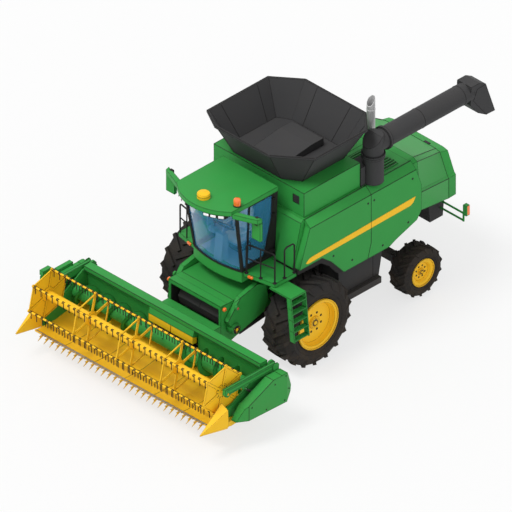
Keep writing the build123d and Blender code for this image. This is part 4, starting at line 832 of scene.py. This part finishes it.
# Door handle, and the orange markers on the front of the decks.
HANDLE = [(0.752, -0.93, 2.8), (0.782, -0.93, 2.81), (0.786, -0.93, 2.9), (0.782, -0.93, 2.98), (0.755, -0.93, 2.99)]
put("door_handle", along_path(HANDLE, 0.011, 12), black_trim, "cab_door", smooth=True)
MARKER = (0.9, -1.048, 2.228)
put("deck_markers", both(turned(rounded(MARKER, (0.13, 0.05, 0.058)), 2, 10.8, MARKER)), beacon_lens, smooth=True)

# Tail lamps: lens blocks behind the green housings, and reflectors.
put("tail_lenses", both(box((1.7085, 1.8115), (4.432, 4.506), (1.612, 1.838))), beacon_lens, bevel=0.006)
put("tail_reflectors", both(box((1.715, 1.805), (4.504, 4.512), (1.62, 1.7))), tail_lens, bevel=0.003)

# Rear hood: joint lines, a grab handle, hinges and bolts; vanes under the chopper.
HOOD_Y = 4.571
HOOD_EDGE = [(0.731, 2.722), (0.861, 2.692), (1.082, 2.19), (1.127, 2.146), (1.127, 1.652)]
seams("hood_joints", [
    [(1.302, 3.347, 3.352), (0.732, 4.572, 2.722)],
    [(1.421, 3.347, 3.292), (0.861, 4.572, 2.692)],
    [(1.537, 3.347, 2.577), (1.127, 4.572, 2.147)],
    [(x, HOOD_Y, z) for x, z in HOOD_EDGE],
    [(0.0, HOOD_Y, 2.723), (0.731, HOOD_Y, 2.722)],
], two_sides=True)
GRAB = [(-0.25, 4.801, 1.92), (-0.25, 4.826, 1.92), (0.25, 4.826, 1.92), (0.25, 4.801, 1.92)]
put("hood_handle", along_path(GRAB, 0.012, 12), black_trim)
put("hood_hinges", both(rounded((0.45, 4.6, 2.708), (0.16, 0.07, 0.05))), dark_paint)
bolts("hood_bolts", 1, 0.01, [(x, 4.8, z) for x in (-0.8, -0.4, 0.0, 0.4, 0.8) for z in (1.7, 2.14)])
vane = prism([(4.2, 1.185), (4.5, 1.185), (4.555, 1.42), (4.46, 1.3), (4.2, 1.25)], 0, -0.004, 0.004)
put("chopper_vanes", repeated(vane, [(x, 0, 0) for x in np.linspace(-0.88, 0.88, 12)]), dark_paint)

# Engine deck: black strips between the louvre ribs, painted shade of the slots, joints round its panels, and bolts.
slot_shade_strip = box((0.001, 0.03), (1.815, 3.045), (3.3795, 3.3815))
put("louvre_slot_shade", repeated(slot_shade_strip, [(0.43 + 0.066 * k, 0, 0) for k in range(4)]), black_trim)
seams("deck_joints", [
    [(x, 1.79, 3.381), (x, 3.07, 3.381), (end, 3.07, 3.381), (end, 1.79, 3.381), (x, 1.79, 3.381)]
    for x, end in ((0.36, 0.74), (-0.7, 0.25))
], radius=0.005)
bolts("deck_bolts", 2, 0.009, [(x, y, 3.38) for x in (-0.66, 0.21) for y in (1.85, 2.43, 3.01)])

# Exhaust: clamp bands and foot, each with its height, outer radius and depth.
BANDS = ((4.665, 0.098, 0.022), (3.62, 0.099, 0.035), (3.38, 0.125, 0.014))
bands = [ring_band((0.8, 2.6, z), 2, 0.0915, outer, 0, deep) for z, outer, deep in BANDS]
put("exhaust_bands", joined(*bands), stack_steel, smooth=True)

# Unloading tube: seam rings, bolts on the flange and on the turret, and the spout's joints.
TUBE_X, TUBE_Z, TUBE_R = 1.35, 4.3, 0.225
tube_rings = [circle((TUBE_X, y, TUBE_Z), 1, TUBE_R + 0.001, full_turn) for y in (3.435, 4.634)]
seams("tube_rings", tube_rings, "unloading_auger")
flange_turn = around(12) + math.radians(15)
bolts("flange_bolts", 1, 0.009, circle((TUBE_X, 2.46, TUBE_Z), 1, 0.245, flange_turn), "unloading_auger")
bolts("turret_bolts", 2, 0.009, circle((TUBE_X, 2.12, 4.085), 2, 0.242, flange_turn), "unloading_auger")
SPOUT = [(5.245, 3.642), (4.86, 4.16), (4.98, 4.4), (5.2, 4.41)]
seams("spout_joints", [[(x, y, z) for y, z in SPOUT] for x in (1.561, 1.139)], "unloading_auger")

# Ladder and decks: grip bars on the treads, joints on the stiles and feet under the rails.
LADDER_LOW, LADDER_TOP, TREADS = np.array([2.01, 1.12]), np.array([1.9, 2.18]), 5
grips = []
for step in range(TREADS):
    x, z = between(LADDER_LOW, LADDER_TOP, step / TREADS) + (0.018, 0.05)
    grips += [box((x + 0.024 * k, x + 0.008 + 0.024 * k), (-0.95, -0.58), (z - 0.001, z + 0.004)) for k in range(4)]
put("ladder_grips", joined(*grips), green_paint)
stiles = [between(LADDER_LOW, LADDER_TOP, share) for share in (0.25, 0.5, 0.75)]
seams("stile_joints", [[(x + 0.03, -0.991, z), (x + 0.125, -0.991, z)] for x, z in stiles], radius=0.004)
RAIL_FEET = [(0.78, -1.045), (1.475, -0.905), (1.1275, -0.975), (1.475, -0.62), (1.475, -0.33)]
FOOT = [(0, -0.001), (0.045, -0.001), (0.045, 0.006), (0.03, 0.008), (0.022, 0.02), (0.0178, 0.02)]
feet = repeated(lathe(FOOT, ORIGIN, 2, 24), placed([(x, y, 2.28) for x, y in RAIL_FEET]))
put("rail_feet", feet, black_trim, smooth=True)

# Feeder house: a band and joints on top, corner lamps, couplers, drive pulleys, and the dark
# screen, liner and bars in its mouth.
put("feeder_band", box((-0.768, 0.768), (-1.788, -1.59), (1.7595, 1.768)), green_paint, "header", bevel=0.003)
seams("feeder_joints", [
    [(-0.768, -1.41, 1.761), (0.768, -1.41, 1.761)],
    [(0.891, -1.505, 1.805), (0.891, -1.33, 1.842)],
    [(0.891, -1.69, 1.395), (0.891, -1.33, 1.838), (0.891, -0.82, 1.948)],
], "header", radius=0.005)
corner_lamp = joined(
    rounded((0.815, -1.725, 1.7), (0.06, 0.07, 0.075), 0.4), rounded((0.82, -1.762, 1.7), (0.045, 0.02, 0.055), 0.5)
)
COUPLER = (0.885, -1.46, 1.66)
coupler = lathe([(0, 0), (0.05, 0), (0.055, 0.012), (0.055, 0.05), (0.038, 0.06), (0.0, 0.062)], COUPLER, 0, 28)
coupler_face = lathe([(0, 0.05), (0.028, 0.05), (0.028, 0.066), (0.02, 0.072), (0, 0.073)], COUPLER, 0, 24)
PULLEY, PULLEY_FACE = (-1.51, 1.16), 0.958
pulley_dark = ring_band((PULLEY_FACE, *PULLEY), 0, 0.04, 0.098, 0, 0.006)
pulley_groove = ring_band((0.93, *PULLEY), 0, 0.1235, 0.1262, -0.006, 0.006)
HUB = [(0, 0), (0.04, 0), (0.04, 0.01), (0.03, 0.016), (0.012, 0.017), (0, 0.017)]
pulley_hub = lathe(HUB, (PULLEY_FACE, *PULLEY), 0, 28)
nut_places = placed(circle((PULLEY_FACE + 0.006, *PULLEY), 0, 0.07, np.radians([30, 150, 270])))
pulley_nuts = repeated(bolt(0, 0.008), nut_places)
for name, shape, material in (
    ("corner_lamps", corner_lamp, beacon_lens), ("coupler_bodies", coupler, green_paint),
    ("coupler_faces", coupler_face, tail_lens), ("pulley_faces", joined(pulley_dark, pulley_groove), black_trim),
    ("pulley_hubs", joined(pulley_hub, pulley_nuts), yellow_paint),
):
    put(name, both(shape), material, "header", smooth=True)
SCREEN = [(-1.21, 1.6), (-1.55, 1.5), (-1.665, 1.345), (-1.6, 1.13), (-1.21, 1.09)]
put("mouth_screen", prism(SCREEN, 0, -0.63, 0.63), dark_paint, "header", bevel=0.01)
LINER_Y, LINER_Z = (-1.78, -1.205), (0.93, 1.668)
put("mouth_liner", joined(
    box((-0.699, -0.69), LINER_Y, LINER_Z), box((0.69, 0.699), LINER_Y, LINER_Z),
    box((-0.69, 0.69), LINER_Y, (1.66, 1.668))), black_trim, "header")
mouth_bar = box((-0.685, 0.685), (-1.66, -1.635), (-0.006, 0.006))
put("mouth_bars", repeated(mouth_bar, [(0, 0.008 * k, 1.115 - 0.028 * k) for k in range(9)]), black_trim, "header")
seams("mouth_joint", [[(0.0, -1.552, 1.503), (0.0, -1.668, 1.346)]], "header", radius=0.005)

# Header: knife sections between the guards, the shields' bolts and joints, ribs on the reel
# arms, and the joints and bolts of trough, beam and floor.
GUARD_PITCH, GUARDS = 0.168, 29
SECTIONS = 2 * GUARDS - 1
section = prism([(-0.036, -3.898), (0.036, -3.898), (0.007, -3.958), (-0.007, -3.958)], 2, 0.6085, 0.6125)
section_x = (np.arange(SECTIONS) - (SECTIONS - 1) / 2) * GUARD_PITCH / 2
put("knife_sections", repeated(section, [(x, 0, 0) for x in section_x]), bare_steel, "header")
put("knife_back", box((-2.57, 2.57), (-3.897, -3.878), (0.607, 0.616)), bare_steel, "header")
SHIELD_BOLTS = ((-2.12, 1.27), (-2.03, 0.92), (-2.16, 0.68), (-2.7, 0.7), (-2.44, 1.2), (-3.12, 0.94))
REEL_HALF, HUB_BOLT_R = 2.58, 0.135
SIDES = ((1, "left"), (-1, "right"))
for side, label in SIDES:
    places = [(side * 3.02, y, z) for y, z in SHIELD_BOLTS]
    bolts(f"shield_bolts_{label}", 0, 0.011, places, "header", side=side)
seams("shield_joints", [
    [(3.021, -2.492, 1.325), (3.021, -3.195, 1.022)],
    [(3.021, -3.21, 1.02), (3.021, -3.21, 0.655)],
    [(2.782, -2.49, 1.331), (3.019, -2.49, 1.331)],
], "header", two_sides=True)
ARM_TOP = 1.4855
seams("arm_ribs", [[(x, start, z), (x, end, z)] for x, start, end, z in (
    (2.7585, -3.6, -2.24, 1.45), (2.7585, -3.6, -2.24, 1.372),
    (2.738, -3.62, -2.17, ARM_TOP), (2.688, -3.62, -2.17, ARM_TOP),
)], "reel_arms", radius=0.005, two_sides=True)
BEAM_Y, TROUGH_X = -2.4605, 2.598
seams("trough_joints", [[(start, y, z), (end, y, z)] for start, end, y, z in (
    (-TROUGH_X, TROUGH_X, BEAM_Y, 1.4305), (-TROUGH_X, TROUGH_X, BEAM_Y, 1.5295),
    (-TROUGH_X, -0.665, -2.362, 1.4), (0.665, TROUGH_X, -2.362, 1.4),
)], "header", radius=0.005)
bolts("beam_bolts", 1, 0.011, [(x, -2.24, 0.67) for x in np.linspace(-2.45, 2.45, 15)], "header")
sheet_x = [x for x in np.linspace(-2.5, 2.5, 21) if abs(x) > 0.85]
bolts("sheet_bolts", 1, 0.008, [(x, -2.34, z) for x in sheet_x for z in (0.98, 1.36)], "header")
FLOOR = [(-3.845, 0.6015), (-3.7, 0.5915), (-3.3, 0.5815), (-2.95, 0.6415), (-2.68, 0.7015)]
floor_runs = [[(x, y, z) for y, z in FLOOR] for x in (-1.74, -0.87, 0.0, 0.87, 1.74)]
seams("floor_joints", floor_runs, "header", radius=0.004)

# Reel: bolts round each end plate's hub.
for side, label in SIDES:
    places = circle((side * REEL_HALF, *REEL), 0, HUB_BOLT_R, around(12))
    bolts(f"reel_hub_bolts_{label}", 0, 0.009, places, "reel", side=side)

# Reel: a dark sleeve over each tine with a coil on each side of it, copied along every bat.
BAYS, SPIDER, MARGIN, TINE_PITCH, COIL_SHIFT = 4, 0.03, 0.06, 0.165, 0.0045
bay = (2 * REEL_HALF - SPIDER) / BAYS
in_bay = MARGIN + TINE_PITCH * np.arange(int((bay - 2 * MARGIN) / TINE_PITCH) + 1)
tine_x = np.concatenate([-REEL_HALF + SPIDER / 2 + bay * k + in_bay for k in range(BAYS)]) + COIL_SHIFT
for number, (_, y, z) in enumerate(BAT_PLACES, 1):
    tine = [(0, y, z - 0.018), (0, y - 0.001, z - 0.06), (0, y - 0.001, z - 0.12), (0, y, z - 0.1625)]
    coils = [ring_band((0, y, z), 0, 0.0195, 0.03, low, low + 0.018, 20) for low in (-0.026, 0.008)]
    sleeves = repeated(joined(along_path(tine, 0.0095, 8), *coils), [(x, 0, 0) for x in tine_x])
    put(f"tine_sleeves_{number}", sleeves, black_trim, f"bat_{number}", smooth=True)

# Rear hood: a collar that closes the gap between the engine deck and the hood.
COLLAR = [(1.3, 3.352), (1.42, 3.292), (1.488, 2.62), (1.44, 2.62), (1.375, 3.26), (1.28, 3.305)]
put("hood_collar", prism(COLLAR + [(-x, z) for x, z in COLLAR[::-1]], 1, 3.14, 3.352), green_paint)

# Header: pointed fingers under the guards, and a feed mat with bars.
vertices, faces = prism([(-3.925, 0.618), (-3.925, 0.58), (-4.058, 0.508), (-4.062, 0.512)], 0, -0.019, 0.019)
vertices[:, 0] *= np.where(vertices[:, 1] - AXLE < -4.0, 0.15, 1.0)
finger_places = [((k - (GUARDS - 1) / 2) * GUARD_PITCH, 0, 0) for k in range(GUARDS)]
put("guard_points", repeated((vertices, faces), finger_places), yellow_paint, "header")
FEED_MAT = [(-2.335, 0.85), (-1.797, 0.93), (-1.797, 0.944), (-2.335, 0.866)]
put("feed_mat", prism(FEED_MAT, 0, -0.697, 0.697), dark_paint, "header")
mat_bar = prism([(-2.3, 0.868), (-2.275, 0.872), (-2.275, 0.892), (-2.3, 0.889)], 0, -0.66, 0.66)
put("feed_bars", repeated(mat_bar, [(0, 0.085 * k, 0.0125 * k) for k in range(6)]), bare_steel, "header", bevel=0.003)

# Engine deck: a louvred panel beside the turret. The blades that would meet it start behind it.
LOUVRE_X, LOUVRE_PITCH = 0.925, 0.078
blades, slot_shades = [], []
for k in range(5):
    x, start, end = LOUVRE_X + LOUVRE_PITCH * k, (1.84 if k < 2 else 2.42), 2.96 - 0.02 * abs(k - 2)
    outline = [(x, 3.379), (x + 0.01, 3.398), (x + 0.04, 3.402), (x + 0.048, 3.379)]
    blades.append(prism(outline, 1, start, end))
    # Black strips in the gaps between the blades: painted shade of the openings.
    if k < 4:
        slot_shades.append(box((x + 0.05, x + 0.076), ((1.85 if k < 1 else 2.43), 2.94), (3.3795, 3.3825)))
put("deck_louvres", joined(*blades), green_paint, bevel=0.003)
put("deck_slot_shade", joined(*slot_shades), black_trim)


# Stage, light and camera.
PHOTO_SIZE = 512
PIXELS_PER_METRE = 48.0
VIEW_AZIMUTH = math.radians(45)
VIEW_ELEVATION = math.asin(0.557)
AIM = (-0.877, AXLE + 0.892, 1.0)


def make_camera():
    """A parallel-view camera at the photograph's angle, framed as the photograph is."""
    lens = bpy.data.cameras.new("camera")
    lens.type = "ORTHO"
    lens.ortho_scale = PHOTO_SIZE / PIXELS_PER_METRE
    lens.clip_end = 200
    back = np.array([
        math.sin(VIEW_AZIMUTH) * math.cos(VIEW_ELEVATION),
        -math.cos(VIEW_AZIMUTH) * math.cos(VIEW_ELEVATION),
        math.sin(VIEW_ELEVATION),
    ])
    made = add_object("camera", lens)
    made.location = np.array(AIM) + 40 * back
    made.rotation_euler = (math.pi / 2 - VIEW_ELEVATION, 0, VIEW_AZIMUTH)
    bpy.context.scene.camera = made


def seen_directly(tree):
    """One for the camera's rays, and for those that come by way of gloss or glass."""
    rays = tree.nodes.new("ShaderNodeLightPath").outputs
    shown = maths(tree, "MAXIMUM", rays["Is Camera Ray"], rays["Is Glossy Ray"])
    return maths(tree, "MAXIMUM", shown, rays["Is Transmission Ray"])


def make_stage():
    """A wide pale floor that shows white to the camera and still takes the shadow."""
    half = 60.0
    mesh = bpy.data.meshes.new("floor")
    mesh.from_pydata([(-half, -half, 0), (half, -half, 0), (half, half, 0), (-half, half, 0)], [], [(0, 1, 2, 3)])
    floor = add_object("floor", mesh)
    made, tree, shader = new_material("floor_white")
    wire(tree, shader, Base_Color=(0.8, 0.8, 0.8, 1), Roughness=0.9)
    glow = node(tree, "ShaderNodeEmission", Color=(1, 1, 1, 1), Strength=1.0)
    share = maths(tree, "MULTIPLY", seen_directly(tree), 0.72)
    blend = node(tree, "ShaderNodeMixShader", in0=share, in1=shader.outputs[0], in2=glow.outputs[0])
    wire(tree, tree.nodes["Material Output"], Surface=blend.outputs[0])
    mesh.materials.append(made)


# Suns: name, strength, size, tilt and turn, the last three in degrees.
SUNS = (("key", 1.6, 20, 28, -20), ("fill", 0.3, 60, 60, 75))


def make_light():
    """A pale sky all round, a soft high key from the front left and a weak fill."""
    world = bpy.data.worlds.new("studio")
    bpy.context.scene.world = world
    world.use_nodes = True
    tree = world.node_tree
    level = maths(tree, "ADD", maths(tree, "MULTIPLY", seen_directly(tree), 0.32), 0.68)
    wire(tree, tree.nodes["Background"], Color=(1, 1, 1, 1), Strength=level)
    for name, strength, size, tilt, turn in SUNS:
        lamp = bpy.data.lights.new(name, "SUN")
        lamp.energy = strength
        lamp.angle = math.radians(size)
        add_object(name, lamp).rotation_euler = (math.radians(tilt), 0, math.radians(turn))


bpy.context.scene.view_settings.view_transform = "Standard"
make_camera()
make_stage()
make_light()
